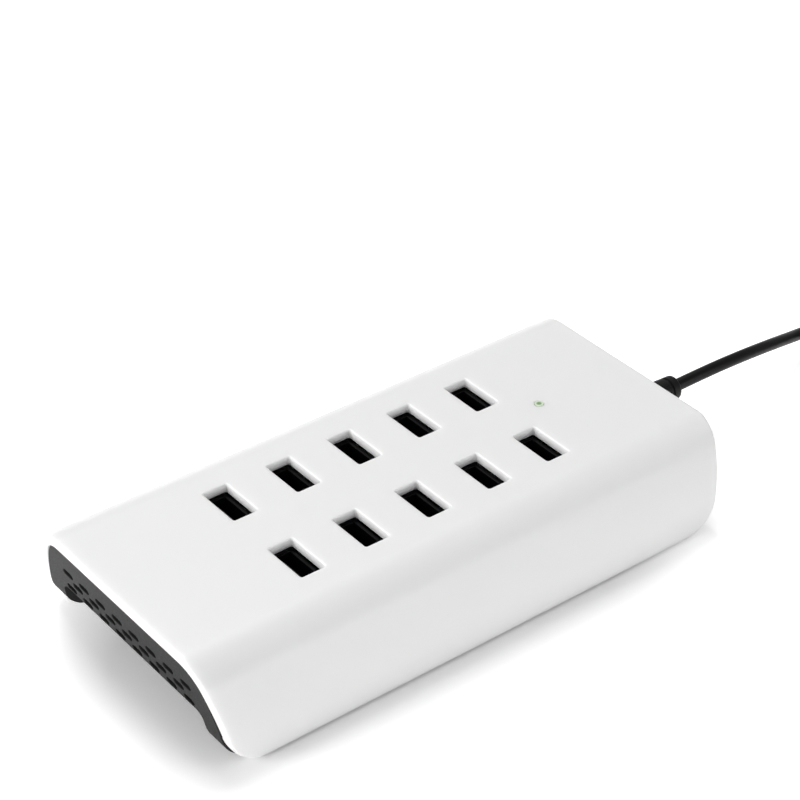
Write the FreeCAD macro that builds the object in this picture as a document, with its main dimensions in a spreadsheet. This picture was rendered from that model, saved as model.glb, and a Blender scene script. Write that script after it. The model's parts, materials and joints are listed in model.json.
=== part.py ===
import FreeCAD, Part
import math
import os
import re
import Sketcher

# Desk charging station with two rows of upright USB-A ports.
# Frame: origin on the surface under the middle of the case, +X to the cord end, +Y to the back, +Z up.
# A white channel-shaped shell covers a dark tray with slotted end walls and an arched underside.

Vector = FreeCAD.Vector
doc = FreeCAD.newDocument("charging_station")
sheet = doc.addObject("Spreadsheet::Sheet", "Sizes")

# Driving dimensions, in millimetres and degrees
driving_sizes = {
    # shell
    "shell_length": 169.0,
    "shell_width": 86.0,
    "shell_height": 29.1,
    "shell_wall": 3.0,
    "side_radius": 45.0,
    "side_upright": 1.4,
    "shoulder_radius": 12.0,
    "corner_radius": 10.5,
    "end_slope": 12.0,
    "end_round": 1.0,
    "foot_lift": 0.6,
    "cut_margin": 2.0,
    # ports
    "port_pitch": 20.0,
    "row_pitch": 29.3,
    "port_width": 7.5,
    "port_length": 14.55,
    "port_round": 0.6,
    # tray
    "tray_clearance": 0.15,
    "tray_recess": 0.7,
    "tray_slope": 9.0,
    "tray_corner": 9.0,
    "tray_wall": 2.2,
    "tray_floor": 1.6,
    "arch_height": 11.4,
    "rail_width": 6.65,
    "arch_flare": 1.2,
    "arch_radius": 2.5,
    "rail_floor": 2.2,
    "rail_core": 3.2,
    "vent_pitch": 7.7,
    "vent_width": 4.4,
    "vent_height": 1.7,
    "vent_row_pitch": 2.55,
    "vent_low_height": 12.85,
    # fasteners and feet
    "boss_end_gap": 10.0,
    "boss_side_gap": 19.0,
    "boss_diameter": 6.0,
    "screw_diameter": 2.9,
    "screw_length": 9.0,
    "screw_head_diameter": 5.4,
    "screw_head_height": 0.9,
    "screw_clearance": 0.1,
    "pilot_spare": 1.0,
    "foot_length": 22.0,
    "foot_width": 5.0,
    "foot_depth": 1.4,
    "foot_end_gap": 30.5,
    # board
    "board_end_gap": 14.5,
    "board_side_gap": 12.0,
    "board_thickness": 1.6,
    "board_standoff": 1.5,
    "board_screw_end": 3.0,
    "board_screw_side": 4.0,
    "board_screw_diameter": 2.0,
    "board_screw_grip": 2.4,
    "board_head_diameter": 4.6,
    "board_head_height": 1.4,
    "standoff_diameter": 5.0,
    # receptacles
    "mouth_gap": 0.3,
    "socket_length": 13.1,
    "socket_width": 5.7,
    "socket_wall": 0.35,
    "flange_length": 14.2,
    "flange_width": 7.0,
    "flange_thickness": 0.4,
    "socket_round": 0.5,
    "tongue_length": 11.1,
    "tongue_thickness": 1.84,
    "tongue_back_gap": 0.5,
    "tongue_setback": 1.6,
    "insulator_height": 2.0,
    "insulator_fit": 0.05,
    "contact_width": 1.0,
    "contact_thickness": 0.15,
    "contact_setback": 0.6,
    "contact_gap": 0.3,
    "contact_outer_place": 3.5,
    "contact_inner_place": 1.0,
    # supply parts
    "part_gap": 1.1,
    "core_end_gap": 4.0,
    "core_port_gap": 4.5,
    "core_yoke": 3.0,
    "core_width": 24.0,
    "core_cover": 1.45,
    "leg_width": 6.0,
    "outer_leg": 3.0,
    "winding_gap": 0.2,
    "bulk_length": 24.0,
    "bulk_spacing": 30.0,
    "fuse_diameter": 4.0,
    "fuse_length": 11.0,
    "fuse_place_y": -7.0,
    "choke_diameter": 9.0,
    "choke_section": 4.4,
    "choke_place_y": -17.0,
    "fuse_end_gap": 13.0,
    "choke_end_gap": 11.0,
    "filter_end_gap": 5.0,
    "filter_side_gap": 16.0,
    "bridge_port_gap": 10.0,
    "sink_side_gap": 3.0,
    "sink_inset": 4.0,
    "switch_inset": 8.0,
    "output_side_gap": 11.5,
    "chip_side_gap": 4.5,
    "filter_length": 8.0,
    "filter_width": 18.0,
    "bridge_length": 4.0,
    "bridge_width": 15.0,
    "sink_plate": 1.5,
    "sink_fin_depth": 3.0,
    "sink_fin_width": 1.2,
    "switch_depth": 4.4,
    "chip_length": 5.0,
    "chip_width": 6.0,
    "chip_height": 1.6,
    # indicator
    "lamp_place": 52.0,
    "lamp_window": 2.6,
    "pipe_clearance": 0.05,
    "pipe_collar": 4.4,
    "pipe_collar_height": 1.0,
    "lamp_length": 3.0,
    "lamp_width": 1.6,
    "lamp_height": 1.2,
    "lamp_gap": 0.3,
    # cord inlet
    "inlet_place": -2.0,
    "inlet_height": 15.2,
    "inlet_bore": 6.2,
    "boot_root": 8.6,
    "boot_tip": 7.8,
    "boot_length": 21.45,
    "boot_round": 1.2,
    "boot_flange": 2.0,
    "wire_diameter": 1.6,
    "wire_spacing": 2.4,
    "wire_reach": 11.0,
    # cord
    "cord_diameter": 4.6,
    "coil_diameter": 55.2,
    "coil_lift": 1.0,
    "coil_reach": 101.95,
    "coil_place_y": -12.3,
    "tie_width": 6.0,
    "tie_thickness": 0.8,
    "tie_gap": 0.1,
    "tie_slack": 0.4,
    "coil_slack": 0.15,
    "cord_seat": 0.6,
    "plug_length": 26.0,
    "plug_width": 25.0,
    "plug_height": 15.0,
    "plug_round": 4.0,
    "plug_relief_length": 14.0,
    "plug_relief_root": 9.0,
    "plug_relief_tip": 6.4,
    "plug_tail_gap": 23.0,
    "blade_spacing": 12.7,
    "blade_width": 6.35,
    "blade_thickness": 1.5,
    "blade_length": 17.0,
}
port_columns = 5
last_column = port_columns // 2
coil_columns = 4
coil_layers = 2

for row, (alias, number) in enumerate(driving_sizes.items(), start=1):
    sheet.set(f"A{row}", alias)
    sheet.set(f"B{row}", str(number))
    sheet.setAlias(f"B{row}", alias)
doc.recompute()

pieces = []


def mm(alias):
    return float(sheet.get(alias))


def on_sheet(formula):
    # Every alias has an underscore, so such words become references to the sheet's cells.
    return re.sub(r"[a-z]+(?:_[a-z]+)+", lambda word: "Sizes." + word.group(), formula)


def bind(target, **formulas):
    for name, formula in formulas.items():
        target.setExpression(name.replace("__", "."), on_sheet(formula))


def place(target, x="0", y="0", z="0"):
    bind(target, Placement__Base__x=x, Placement__Base__y=y, Placement__Base__z=z)


def keep(target, label):
    target.Label = label
    pieces.append(target)
    return target


# Formulas that several pieces share
end_run = "tan(end_slope * 1 deg)"
tray_run = "tan(tray_slope * 1 deg)"
top_half = "shell_length / 2"
ceiling = "(shell_height - shell_wall)"
floor_top = "(arch_height + tray_floor)"
board_bottom = "(arch_height + tray_floor + board_standoff)"
board_top = "(arch_height + tray_floor + board_standoff + board_thickness)"
mouth = "(shell_height - shell_wall - mouth_gap)"
# A wall of the tray, measured along X across its slanted end
wall_along_x = "tray_wall / cos(tray_slope * 1 deg)"
tray_half = "(shell_width / 2 - shell_wall - tray_clearance)"
arch_half = f"({tray_half} - rail_width - arch_flare)"
rail_middle = f"({tray_half} - rail_width / 2)"
boss_x = f"({top_half} - boss_end_gap)"
boss_y = "(shell_width / 2 - boss_side_gap)"
foot_x = f"({top_half} - foot_end_gap)"
board_half_x = f"({top_half} - board_end_gap)"
board_half_y = "(shell_width / 2 - board_side_gap)"
screw_x = f"({board_half_x} - board_screw_end)"
screw_y = f"({board_half_y} - board_screw_side)"
port_edge = f"({last_column} * port_pitch + flange_width / 2)"
part_room = f"({ceiling} - {board_top} - part_gap)"
core_length = f"({board_half_x} - {port_edge} - core_end_gap - core_port_gap)"
core_height = f"({part_room} - 2 * core_cover)"
core_x = f"(core_end_gap + {core_length} / 2 - {board_half_x})"
wall_at_inlet = f"({top_half} - tray_recess - (shell_height - inlet_height) * {tray_run})"


# Sketch helpers

def new_body(label):
    body = doc.addObject("PartDesign::Body", label)
    return keep(body, label)


def origin_plane(body, role):
    return next(item for item in body.Origin.OriginFeatures if item.Role == role)


def new_sketch(body, name, role, height=None):
    sketch = body.newObject("Sketcher::SketchObject", name)
    sketch.AttachmentSupport = [(origin_plane(body, role), "")]
    sketch.MapMode = "FlatFace"
    if height is not None:
        bind(sketch, AttachmentOffset__Base__z=height)
    return sketch


def fix(sketch, kind, formula, *where):
    # A driving constraint that starts at the drawn size and then follows the sheet.
    if kind == "Radius":
        start = sketch.Geometry[where[0]].Radius
    elif kind == "Angle":
        line = sketch.Geometry[where[0]]
        run = line.EndPoint - line.StartPoint
        start = math.atan2(run.y, run.x)
    else:
        first = sketch.getPoint(where[0], where[1])
        second = sketch.getPoint(where[2], where[3])
        start = second.x - first.x if kind == "DistanceX" else second.y - first.y
    index = sketch.addConstraint(Sketcher.Constraint(kind, *where, start))
    name = f"size{index}"
    sketch.renameConstraint(index, name)
    sketch.setExpression(f"Constraints.{name}", on_sheet(formula))


def join(sketch, kind, pairs):
    for first, first_end, second, second_end in pairs:
        sketch.addConstraint(Sketcher.Constraint(kind, first, first_end, second, second_end))


def line(sketch, start, end):
    return sketch.addGeometry(Part.LineSegment(Vector(*start, 0), Vector(*end, 0)))


def arc(sketch, centre, radius, start_degrees, end_degrees):
    circle = Part.Circle(Vector(*centre, 0), Vector(0, 0, 1), radius)
    bounds = (math.radians(start_degrees), math.radians(end_degrees))
    return sketch.addGeometry(Part.ArcOfCircle(circle, *bounds))


def rectangle(sketch, left, right, low, high):
    first = line(sketch, (-1, -1), (1, -1))
    line(sketch, (1, -1), (1, 1))
    line(sketch, (1, 1), (-1, 1))
    last = line(sketch, (-1, 1), (-1, -1))
    sides = range(first, last + 1)
    join(sketch, "Coincident", [(side, 2, side + 1 if side < last else first, 1) for side in sides])
    for side in (first, first + 2):
        sketch.addConstraint(Sketcher.Constraint("Horizontal", side))
    for side in (first + 1, last):
        sketch.addConstraint(Sketcher.Constraint("Vertical", side))
    fix(sketch, "DistanceX", left, -1, 1, first, 1)
    fix(sketch, "DistanceX", right, -1, 1, first, 2)
    fix(sketch, "DistanceY", low, -1, 1, first, 1)
    fix(sketch, "DistanceY", high, -1, 1, first + 2, 1)


def circle(sketch, x, y, radius):
    ring = sketch.addGeometry(Part.Circle(Vector(0, 0, 0), Vector(0, 0, 1), 1.0))
    fix(sketch, "Radius", radius, ring)
    fix(sketch, "DistanceX", x, -1, 1, ring, 3)
    fix(sketch, "DistanceY", y, -1, 1, ring, 3)


def slot(sketch, x, y, width, height):
    # A slot with round ends, centred on x and y.
    right = arc(sketch, (1, 0), 1, -90, 90)
    top = line(sketch, (1, 1), (-1, 1))
    left = arc(sketch, (-1, 0), 1, 90, 270)
    bottom = line(sketch, (-1, -1), (1, -1))
    join(sketch, "Tangent", [(right, 2, top, 1), (top, 2, left, 1), (left, 2, bottom, 1),
                             (bottom, 2, right, 1)])
    sketch.addConstraint(Sketcher.Constraint("Equal", right, left))
    fix(sketch, "Radius", f"({height}) / 2", right)
    for end, sign in ((right, "+"), (left, "-")):
        fix(sketch, "DistanceX", f"({x}) {sign} (({width}) - ({height})) / 2", -1, 1, end, 3)
        fix(sketch, "DistanceY", y, -1, 1, end, 3)


def case_profile(sketch, inset_formula, inset, low_formula, low):
    # The case's cross-section, moved inwards: upright edge, long side curve, shoulder, flat top.
    side_radius = mm("side_radius") - inset
    shoulder_radius = mm("shoulder_radius") - inset
    half = mm("shell_width") / 2 - inset
    side_centre_y = mm("shell_width") / 2 - mm("side_radius")
    side_centre_z = mm("foot_lift") + mm("side_upright")
    shoulder_centre_z = mm("shell_height") - mm("shoulder_radius")
    rise = shoulder_centre_z - side_centre_z
    centre_run = math.sqrt((side_radius - shoulder_radius) ** 2 - rise ** 2)
    shoulder_centre_y = side_centre_y + centre_run
    meet = math.degrees(math.atan2(rise, centre_run))
    top = mm("shell_height") - inset
    bottom = line(sketch, (-half, low), (half, low))
    right = line(sketch, (half, low), (half, side_centre_z))
    right_side = arc(sketch, (side_centre_y, side_centre_z), side_radius, 0, meet)
    right_shoulder = arc(sketch, (shoulder_centre_y, shoulder_centre_z), shoulder_radius, meet, 90)
    roof = line(sketch, (shoulder_centre_y, top), (-shoulder_centre_y, top))
    left_shoulder = arc(sketch, (-shoulder_centre_y, shoulder_centre_z), shoulder_radius, 90, 180 - meet)
    left_side = arc(sketch, (-side_centre_y, side_centre_z), side_radius, 180 - meet, 180)
    left = line(sketch, (-half, side_centre_z), (-half, low))
    smooth = [right, right_side, right_shoulder, roof, left_shoulder, left_side, left]
    join(sketch, "Coincident", [(left, 2, bottom, 1), (bottom, 2, right, 1)])
    join(sketch, "Tangent", [(one, 2, two, 1) for one, two in zip(smooth, smooth[1:])])
    for side in (right, left):
        sketch.addConstraint(Sketcher.Constraint("Vertical", side))
    for flat in (bottom, roof):
        sketch.addConstraint(Sketcher.Constraint("Symmetric", flat, 1, flat, 2, -2))
    sketch.addConstraint(Sketcher.Constraint("Equal", right_side, left_side))
    sketch.addConstraint(Sketcher.Constraint("Equal", right_shoulder, left_shoulder))
    fix(sketch, "Radius", f"side_radius - ({inset_formula})", right_side)
    fix(sketch, "Radius", f"shoulder_radius - ({inset_formula})", right_shoulder)
    fix(sketch, "DistanceY", low_formula, -1, 1, bottom, 1)
    fix(sketch, "DistanceY", f"shell_height - ({inset_formula})", -1, 1, roof, 1)
    fix(sketch, "DistanceX", f"shell_width - 2 * ({inset_formula})", bottom, 1, bottom, 2)
    fix(sketch, "DistanceY", "foot_lift + side_upright", -1, 1, right, 2)


def end_cut(sketch, recess, slope_name, radius_name):
    # What the slanted left end leaves off: outside the slope and its rounded lower corner.
    margin = mm("cut_margin")
    top = mm("shell_height") + margin
    low = mm("foot_lift")
    radius = mm(radius_name)
    slope = mm(slope_name)
    slope_tangent = math.tan(math.radians(slope))
    start_x = -mm("shell_length") / 2 - margin * slope_tangent
    if recess:
        start_x += mm(recess)
    sine = math.sin(math.radians(slope))
    centre_z = low + radius
    touch_z = centre_z - radius * sine
    touch_x = start_x + (top - touch_z) * slope_tangent
    centre_x = touch_x + radius * math.cos(math.radians(slope))
    far = start_x - margin
    slope_line = line(sketch, (start_x, top), (touch_x, touch_z))
    corner = arc(sketch, (centre_x, centre_z), radius, 180 + slope, 270)
    down = line(sketch, (centre_x, low), (centre_x, low - margin))
    under = line(sketch, (centre_x, low - margin), (far, low - margin))
    back = line(sketch, (far, low - margin), (far, top))
    over = line(sketch, (far, top), (start_x, top))
    join(sketch, "Tangent", [(slope_line, 2, corner, 1)])
    join(sketch, "Coincident", [(corner, 2, down, 1), (down, 2, under, 1), (under, 2, back, 1),
                                (back, 2, over, 1), (over, 2, slope_line, 1)])
    for level in (under, over):
        sketch.addConstraint(Sketcher.Constraint("Horizontal", level))
    for upright in (down, back):
        sketch.addConstraint(Sketcher.Constraint("Vertical", upright))
    sketch.addConstraint(Sketcher.Constraint("Vertical", corner, 3, corner, 2))
    start_formula = f"-{top_half} + {recess or 0} - cut_margin * tan({slope_name} * 1 deg)"
    fix(sketch, "Radius", radius_name, corner)
    fix(sketch, "Angle", f"{slope_name} * 1 deg - 90 deg", slope_line)
    fix(sketch, "DistanceX", start_formula, -1, 1, slope_line, 1)
    fix(sketch, "DistanceY", "shell_height + cut_margin", -1, 1, slope_line, 1)
    fix(sketch, "DistanceY", "foot_lift", -1, 1, corner, 2)
    fix(sketch, "DistanceX", start_formula + " - cut_margin", -1, 1, under, 2)
    fix(sketch, "DistanceY", "foot_lift - cut_margin", -1, 1, under, 2)


# Feature helpers

def feature(body, kind, name, sketch, length=None, both_ways=False, reverse=False):
    item = body.newObject(f"PartDesign::{kind}", name)
    item.Profile = sketch
    if length is None:
        item.Type = "ThroughAll"
    else:
        bind(item, Length=length)
    if both_ways:
        item.SideType = "Symmetric"
    item.Reversed = reverse
    return item


def mirror(body, name, original, role):
    item = body.newObject("PartDesign::Mirrored", name)
    item.Originals = [original]
    item.MirrorPlane = (origin_plane(body, role), [""])
    body.Tip = item
    return item


def repeat(body, name, original, sketch, axis, length, count):
    item = body.newObject("PartDesign::LinearPattern", name)
    item.Originals = [original]
    item.Direction = (sketch, [axis])
    bind(item, Length=length)
    item.Occurrences = count
    body.Tip = item
    return item


def round_edges(body, name, radius, chosen):
    # Fillet the edges of the body so far that the test picks.
    doc.recompute()
    base = body.Tip
    names = [f"Edge{number}" for number, edge in enumerate(base.Shape.Edges, start=1) if chosen(edge)]
    item = body.newObject("PartDesign::Fillet", name)
    item.Base = (base, names)
    bind(item, Radius=radius)
    return item


def end_walls(body, recess, slope_name, radius_name):
    sketch = new_sketch(body, body.Label + "_end_cut", "XZ_Plane")
    end_cut(sketch, recess, slope_name, radius_name)
    cut = feature(body, "Pocket", body.Label + "_left_end", sketch, both_ways=True)
    mirror(body, body.Label + "_ends", cut, "YZ_Plane")


# Primitive helpers: x and y give the middle, z the underside

def block(name, x, y, z, length, width, height):
    item = doc.addObject("Part::Box", name)
    bind(item, Length=length, Width=width, Height=height)
    place(item, f"({x}) - ({length}) / 2", f"({y}) - ({width}) / 2", z)
    return item


def can(name, x, y, z, diameter, height):
    item = doc.addObject("Part::Cylinder", name)
    bind(item, Radius=f"({diameter}) / 2", Height=height)
    place(item, x, y, z)
    return item


def rod(name, x, y, z, diameter, length):
    # A cylinder along X that starts at x.
    item = can(name, x, y, z, diameter, length)
    item.Placement = FreeCAD.Placement(item.Placement.Base, FreeCAD.Rotation(Vector(0, 1, 0), 90))
    place(item, x, y, z)
    return item


def combine(kind, name, *members):
    item = doc.addObject(f"Part::{kind}", name)
    if kind == "Cut":
        item.Base, item.Tool = members
    elif kind == "Compound":
        item.Links = list(members)
    else:
        item.Shapes = list(members)
    return item


def corners(x, y):
    return [(f"{side_x} * {x}", f"{side_y} * {y}") for side_x in (-1, 1) for side_y in (-1, 1)]


# White shell

def make_top_shell():
    body = new_body("top_shell")
    outer = new_sketch(body, "shell_outer", "YZ_Plane")
    case_profile(outer, "0", 0.0, "foot_lift", mm("foot_lift"))
    feature(body, "Pad", "shell_block", outer, "shell_length", both_ways=True)
    end_walls(body, None, "end_slope", "corner_radius")
    slope_tangent = math.tan(math.radians(mm("end_slope")))
    high_end = mm("shell_length") / 2 - (mm("shell_height") - mm("foot_lift")) * slope_tangent
    upper_corner = mm("foot_lift") + mm("corner_radius")

    def on_end(edge):
        box = edge.BoundBox
        across = edge.CenterOfMass
        outward = abs(across.x) > high_end - mm("corner_radius")
        level = box.XLength < mm("corner_radius") * 1.2
        return outward and level and box.ZMax > upper_corner - 1 and not short_seam(edge)

    def short_seam(edge):
        return edge.BoundBox.YLength < 1e-6 and edge.BoundBox.ZLength < 1e-6

    round_edges(body, "shell_end_rounds", "end_round", on_end)
    inner = new_sketch(body, "shell_inner", "YZ_Plane")
    case_profile(inner, "shell_wall", mm("shell_wall"), "foot_lift - cut_margin",
                 mm("foot_lift") - mm("cut_margin"))
    feature(body, "Pocket", "shell_hollow", inner, both_ways=True)
    ports = new_sketch(body, "shell_ports", "XY_Plane", "shell_height + cut_margin")
    first = f"-{last_column} * port_pitch"
    for side in (-1, 1):
        middle = f"{side} * row_pitch / 2"
        rectangle(ports, f"{first} - port_width / 2", f"{first} + port_width / 2",
                  f"{middle} - port_length / 2", f"{middle} + port_length / 2")
    port_cut = feature(body, "Pocket", "shell_port_cut", ports, "shell_wall + 2 * cut_margin")
    repeat(body, "shell_port_row", port_cut, ports, "H_Axis", f"{port_columns - 1} * port_pitch",
           port_columns)
    window = new_sketch(body, "shell_window", "XY_Plane", "shell_height + cut_margin")
    circle(window, "lamp_place", "0", "lamp_window / 2")
    feature(body, "Pocket", "shell_window_cut", window, "shell_wall + 2 * cut_margin")
    bosses = new_sketch(body, "shell_bosses", "XY_Plane", floor_top)
    for x, y in corners(boss_x, boss_y):
        circle(bosses, x, y, "boss_diameter / 2")
    feature(body, "Pad", "shell_boss_posts", bosses, f"shell_height - shell_wall / 2 - {floor_top}")
    pilots = new_sketch(body, "shell_pilots", "XY_Plane", floor_top)
    for x, y in corners(boss_x, boss_y):
        circle(pilots, x, y, "screw_diameter / 2 + screw_clearance")
    feature(body, "Pocket", "shell_pilot_holes", pilots, "screw_length + pilot_spare", reverse=True)


# Dark tray

def vent_row(body, name, end, first, count, height):
    # One row of slots through one end wall, from the outside inwards.
    plane_x = f"{end} * (shell_length / 2 + cut_margin)"
    sketch = new_sketch(body, f"{name}_slot", "YZ_Plane", plane_x)
    slot(sketch, first, height, "vent_width", "vent_height")
    lean = f"(shell_height - ({height}) + vent_height) * {tray_run}"
    depth = f"cut_margin + tray_recess + {lean} + {wall_along_x}"
    cut = feature(body, "Pocket", f"{name}_cut", sketch, depth, reverse=end < 0)
    repeat(body, f"{name}_row", cut, sketch, "H_Axis", f"{count - 1} * vent_pitch", count)


def make_base_tray():
    body = new_body("base_tray")
    gap = mm("shell_wall") + mm("tray_clearance")
    outer = new_sketch(body, "tray_outer", "YZ_Plane")
    case_profile(outer, "shell_wall + tray_clearance", gap, "foot_lift", mm("foot_lift"))
    feature(body, "Pad", "tray_block", outer, "shell_length", both_ways=True)
    end_walls(body, "tray_recess", "tray_slope", "tray_corner")

    bay = new_sketch(body, "tray_bay", "XZ_Plane")
    low_half = f"{top_half} - tray_recess - {wall_along_x} - (shell_height - {floor_top}) * {tray_run}"
    high_half = f"{top_half} - tray_recess - {wall_along_x} + cut_margin * {tray_run}"
    floor = line(bay, (-5, -1), (5, -1))
    right = line(bay, (5, -1), (6, 1))
    roof = line(bay, (6, 1), (-6, 1))
    left = line(bay, (-6, 1), (-5, -1))
    join(bay, "Coincident", [(floor, 2, right, 1), (right, 2, roof, 1), (roof, 2, left, 1),
                             (left, 2, floor, 1)])
    for level, half, height in ((floor, low_half, floor_top), (roof, high_half, "shell_height + cut_margin")):
        sign = 1 if level == floor else -1
        fix(bay, "DistanceX", f"-{sign} * ({half})", -1, 1, level, 1)
        fix(bay, "DistanceX", f"{sign} * ({half})", -1, 1, level, 2)
        fix(bay, "DistanceY", height, -1, 1, level, 1)
        fix(bay, "DistanceY", height, -1, 1, level, 2)
    feature(body, "Pocket", "tray_bay_cut", bay, both_ways=True)

    arch = new_sketch(body, "tray_arch", "YZ_Plane")
    half = mm("shell_width") / 2 - gap - mm("rail_width") - mm("arch_flare")
    radius = mm("arch_radius")
    rise = mm("arch_height") - mm("foot_lift") + mm("cut_margin")
    lean = math.degrees(math.atan2(mm("arch_flare"), rise))
    low = mm("foot_lift") - mm("cut_margin")
    top = mm("arch_height")
    crown = half - radius
    foot = line(arch, (-half - mm("arch_flare"), low), (half + mm("arch_flare"), low))
    right = line(arch, (half + mm("arch_flare"), low), (half, top - radius))
    right_bend = arc(arch, (crown, top - radius), radius, lean, 90)
    roof = line(arch, (crown, top), (-crown, top))
    left_bend = arc(arch, (-crown, top - radius), radius, 90, 180 - lean)
    left = line(arch, (-half, top - radius), (-half - mm("arch_flare"), low))
    join(arch, "Coincident", [(left, 2, foot, 1), (foot, 2, right, 1)])
    bends = [right, right_bend, roof, left_bend, left]
    join(arch, "Tangent", [(one, 2, two, 1) for one, two in zip(bends, bends[1:])])
    for flat in (foot, roof):
        arch.addConstraint(Sketcher.Constraint("Symmetric", flat, 1, flat, 2, -2))
    arch.addConstraint(Sketcher.Constraint("Equal", right_bend, left_bend))
    fix(arch, "Radius", "arch_radius", right_bend)
    fix(arch, "DistanceX", f"2 * (arch_radius - {arch_half})", roof, 1, roof, 2)
    fix(arch, "DistanceX", f"2 * ({arch_half} + arch_flare)", foot, 1, foot, 2)
    fix(arch, "DistanceY", "foot_lift - cut_margin", -1, 1, foot, 1)
    fix(arch, "DistanceY", "arch_height", -1, 1, roof, 1)
    feature(body, "Pocket", "tray_arch_cut", arch, both_ways=True)

    cores = new_sketch(body, "tray_rail_cores", "YZ_Plane")
    for side in (-1, 1):
        middle = f"{side} * {rail_middle}"
        rectangle(cores, f"{middle} - rail_core / 2", f"{middle} + rail_core / 2",
                  "foot_lift + foot_depth + rail_floor", f"{floor_top} + cut_margin")
    core_length = f"shell_length - 2 * (shell_height * {tray_run} + tray_corner + {wall_along_x})"
    feature(body, "Pocket", "tray_rail_core_cut", cores, core_length, both_ways=True)

    pads = new_sketch(body, "tray_foot_beds", "XY_Plane", "foot_lift - cut_margin")
    for x, y in corners(foot_x, rail_middle):
        rectangle(pads, f"{x} - foot_length / 2", f"{x} + foot_length / 2",
                  f"{y} - foot_width / 2", f"{y} + foot_width / 2")
    feature(body, "Pocket", "tray_foot_bed_cut", pads, "cut_margin - foot_lift + foot_depth", reverse=True)

    posts = new_sketch(body, "tray_standoffs", "XY_Plane", f"arch_height + tray_floor / 2")
    for x, y in corners(screw_x, screw_y):
        circle(posts, x, y, "standoff_diameter / 2")
    feature(body, "Pad", "tray_standoff_posts", posts, "tray_floor / 2 + board_standoff")
    pilots = new_sketch(body, "tray_pilots", "XY_Plane", f"{board_bottom} + cut_margin")
    for x, y in corners(screw_x, screw_y):
        circle(pilots, x, y, "board_screw_diameter / 2 + screw_clearance / 2")
    feature(body, "Pocket", "tray_pilot_holes", pilots, "cut_margin + board_screw_grip + screw_clearance")

    holes = new_sketch(body, "tray_screw_holes", "XY_Plane", f"{floor_top} + cut_margin")
    beds = new_sketch(body, "tray_screw_beds", "XY_Plane", "arch_height - cut_margin")
    for x, y in corners(boss_x, boss_y):
        circle(holes, x, y, "screw_diameter / 2 + screw_clearance")
        circle(beds, x, y, "screw_head_diameter / 2 + screw_clearance")
    feature(body, "Pocket", "tray_screw_hole_cut", holes, "tray_floor + 2 * cut_margin")
    feature(body, "Pocket", "tray_screw_bed_cut", beds, "cut_margin + screw_head_height", reverse=True)

    inlet = new_sketch(body, "tray_inlet", "YZ_Plane", f"{top_half} + cut_margin")
    circle(inlet, "inlet_place", "inlet_height", "inlet_bore / 2")
    lean = f"(shell_height - inlet_height + inlet_bore) * {tray_run}"
    inlet_depth = f"cut_margin + tray_recess + {lean} + {wall_along_x}"
    feature(body, "Pocket", "tray_inlet_cut", inlet, inlet_depth)

    # Left end: three staggered rows right across. Right end: the same rows, left out round the cord.
    for level, (shift, count, skipped) in enumerate(((0.0, 8, 1), (0.5, 7, 1.5), (0.0, 8, 1))):
        height = f"vent_low_height + {level} * vent_row_pitch"
        span = (count - 1) / 2
        vent_row(body, f"left_vents_{level}", -1, f"-{span} * vent_pitch", count, height)
        side_count = int(span - skipped + 0.5)
        vent_row(body, f"right_front_vents_{level}", 1, f"-{span} * vent_pitch", side_count, height)
        first_back = span - side_count + 1
        vent_row(body, f"right_back_vents_{level}", 1, f"{first_back} * vent_pitch", side_count, height)


# Receptacles

def port_places():
    for column in range(port_columns):
        for row in (-1, 1):
            x = f"({column - last_column} * port_pitch)"
            y = f"({row} * row_pitch / 2)"
            yield column * 2 + (row + 3) // 2, x, y


def make_receptacle(number, x, y):
    label = f"usb_shell_{number:02d}"
    body = new_body(label)
    place(body, x, y, board_top)
    height = f"{mouth} - {board_top}"
    tube = new_sketch(body, f"{label}_tube", "XY_Plane")
    rectangle(tube, "-socket_width / 2", "socket_width / 2", "-socket_length / 2", "socket_length / 2")
    feature(body, "Pad", f"{label}_wall", tube, height)
    lip = new_sketch(body, f"{label}_lip", "XY_Plane", height)
    rectangle(lip, "-flange_width / 2", "flange_width / 2", "-flange_length / 2", "flange_length / 2")
    feature(body, "Pad", f"{label}_flange", lip, "flange_thickness", reverse=True)
    bore = new_sketch(body, f"{label}_bore", "XY_Plane", height)
    rectangle(bore, "-socket_width / 2 + socket_wall", "socket_width / 2 - socket_wall",
              "-socket_length / 2 + socket_wall", "socket_length / 2 - socket_wall")
    feature(body, "Pocket", f"{label}_cavity", bore)

    fit = "2 * socket_wall - 2 * insulator_fit"
    base = block(f"insulator_{number:02d}", x, y, board_top, f"socket_width - {fit}",
                 f"socket_length - {fit}", "insulator_height")
    tongue_x = f"{x} - socket_width / 2 + socket_wall + tongue_back_gap + tongue_thickness / 2"
    tongue = block(f"tongue_{number:02d}", tongue_x, y, board_top, "tongue_thickness", "tongue_length",
                   f"{mouth} - tongue_setback - {board_top}")
    keep(combine("MultiFuse", f"tongue_piece_{number:02d}", base, tongue), f"usb_tongue_{number:02d}")

    strip_x = f"{tongue_x} + tongue_thickness / 2 + contact_thickness / 2"
    strip_z = f"({board_top} + insulator_height + contact_gap)"
    strip_height = f"{mouth} - tongue_setback - contact_setback - {strip_z}"
    strips = []
    for reach in ("contact_outer_place", "contact_inner_place"):
        for side in (-1, 1):
            strips.append(block(f"contact_{number:02d}_{len(strips)}", strip_x, f"{y} + {side} * {reach}",
                                strip_z, "contact_thickness", "contact_width", strip_height))
    keep(combine("Compound", f"contact_group_{number:02d}", *strips), f"usb_contacts_{number:02d}")


# Circuit board and what stands on it

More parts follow.
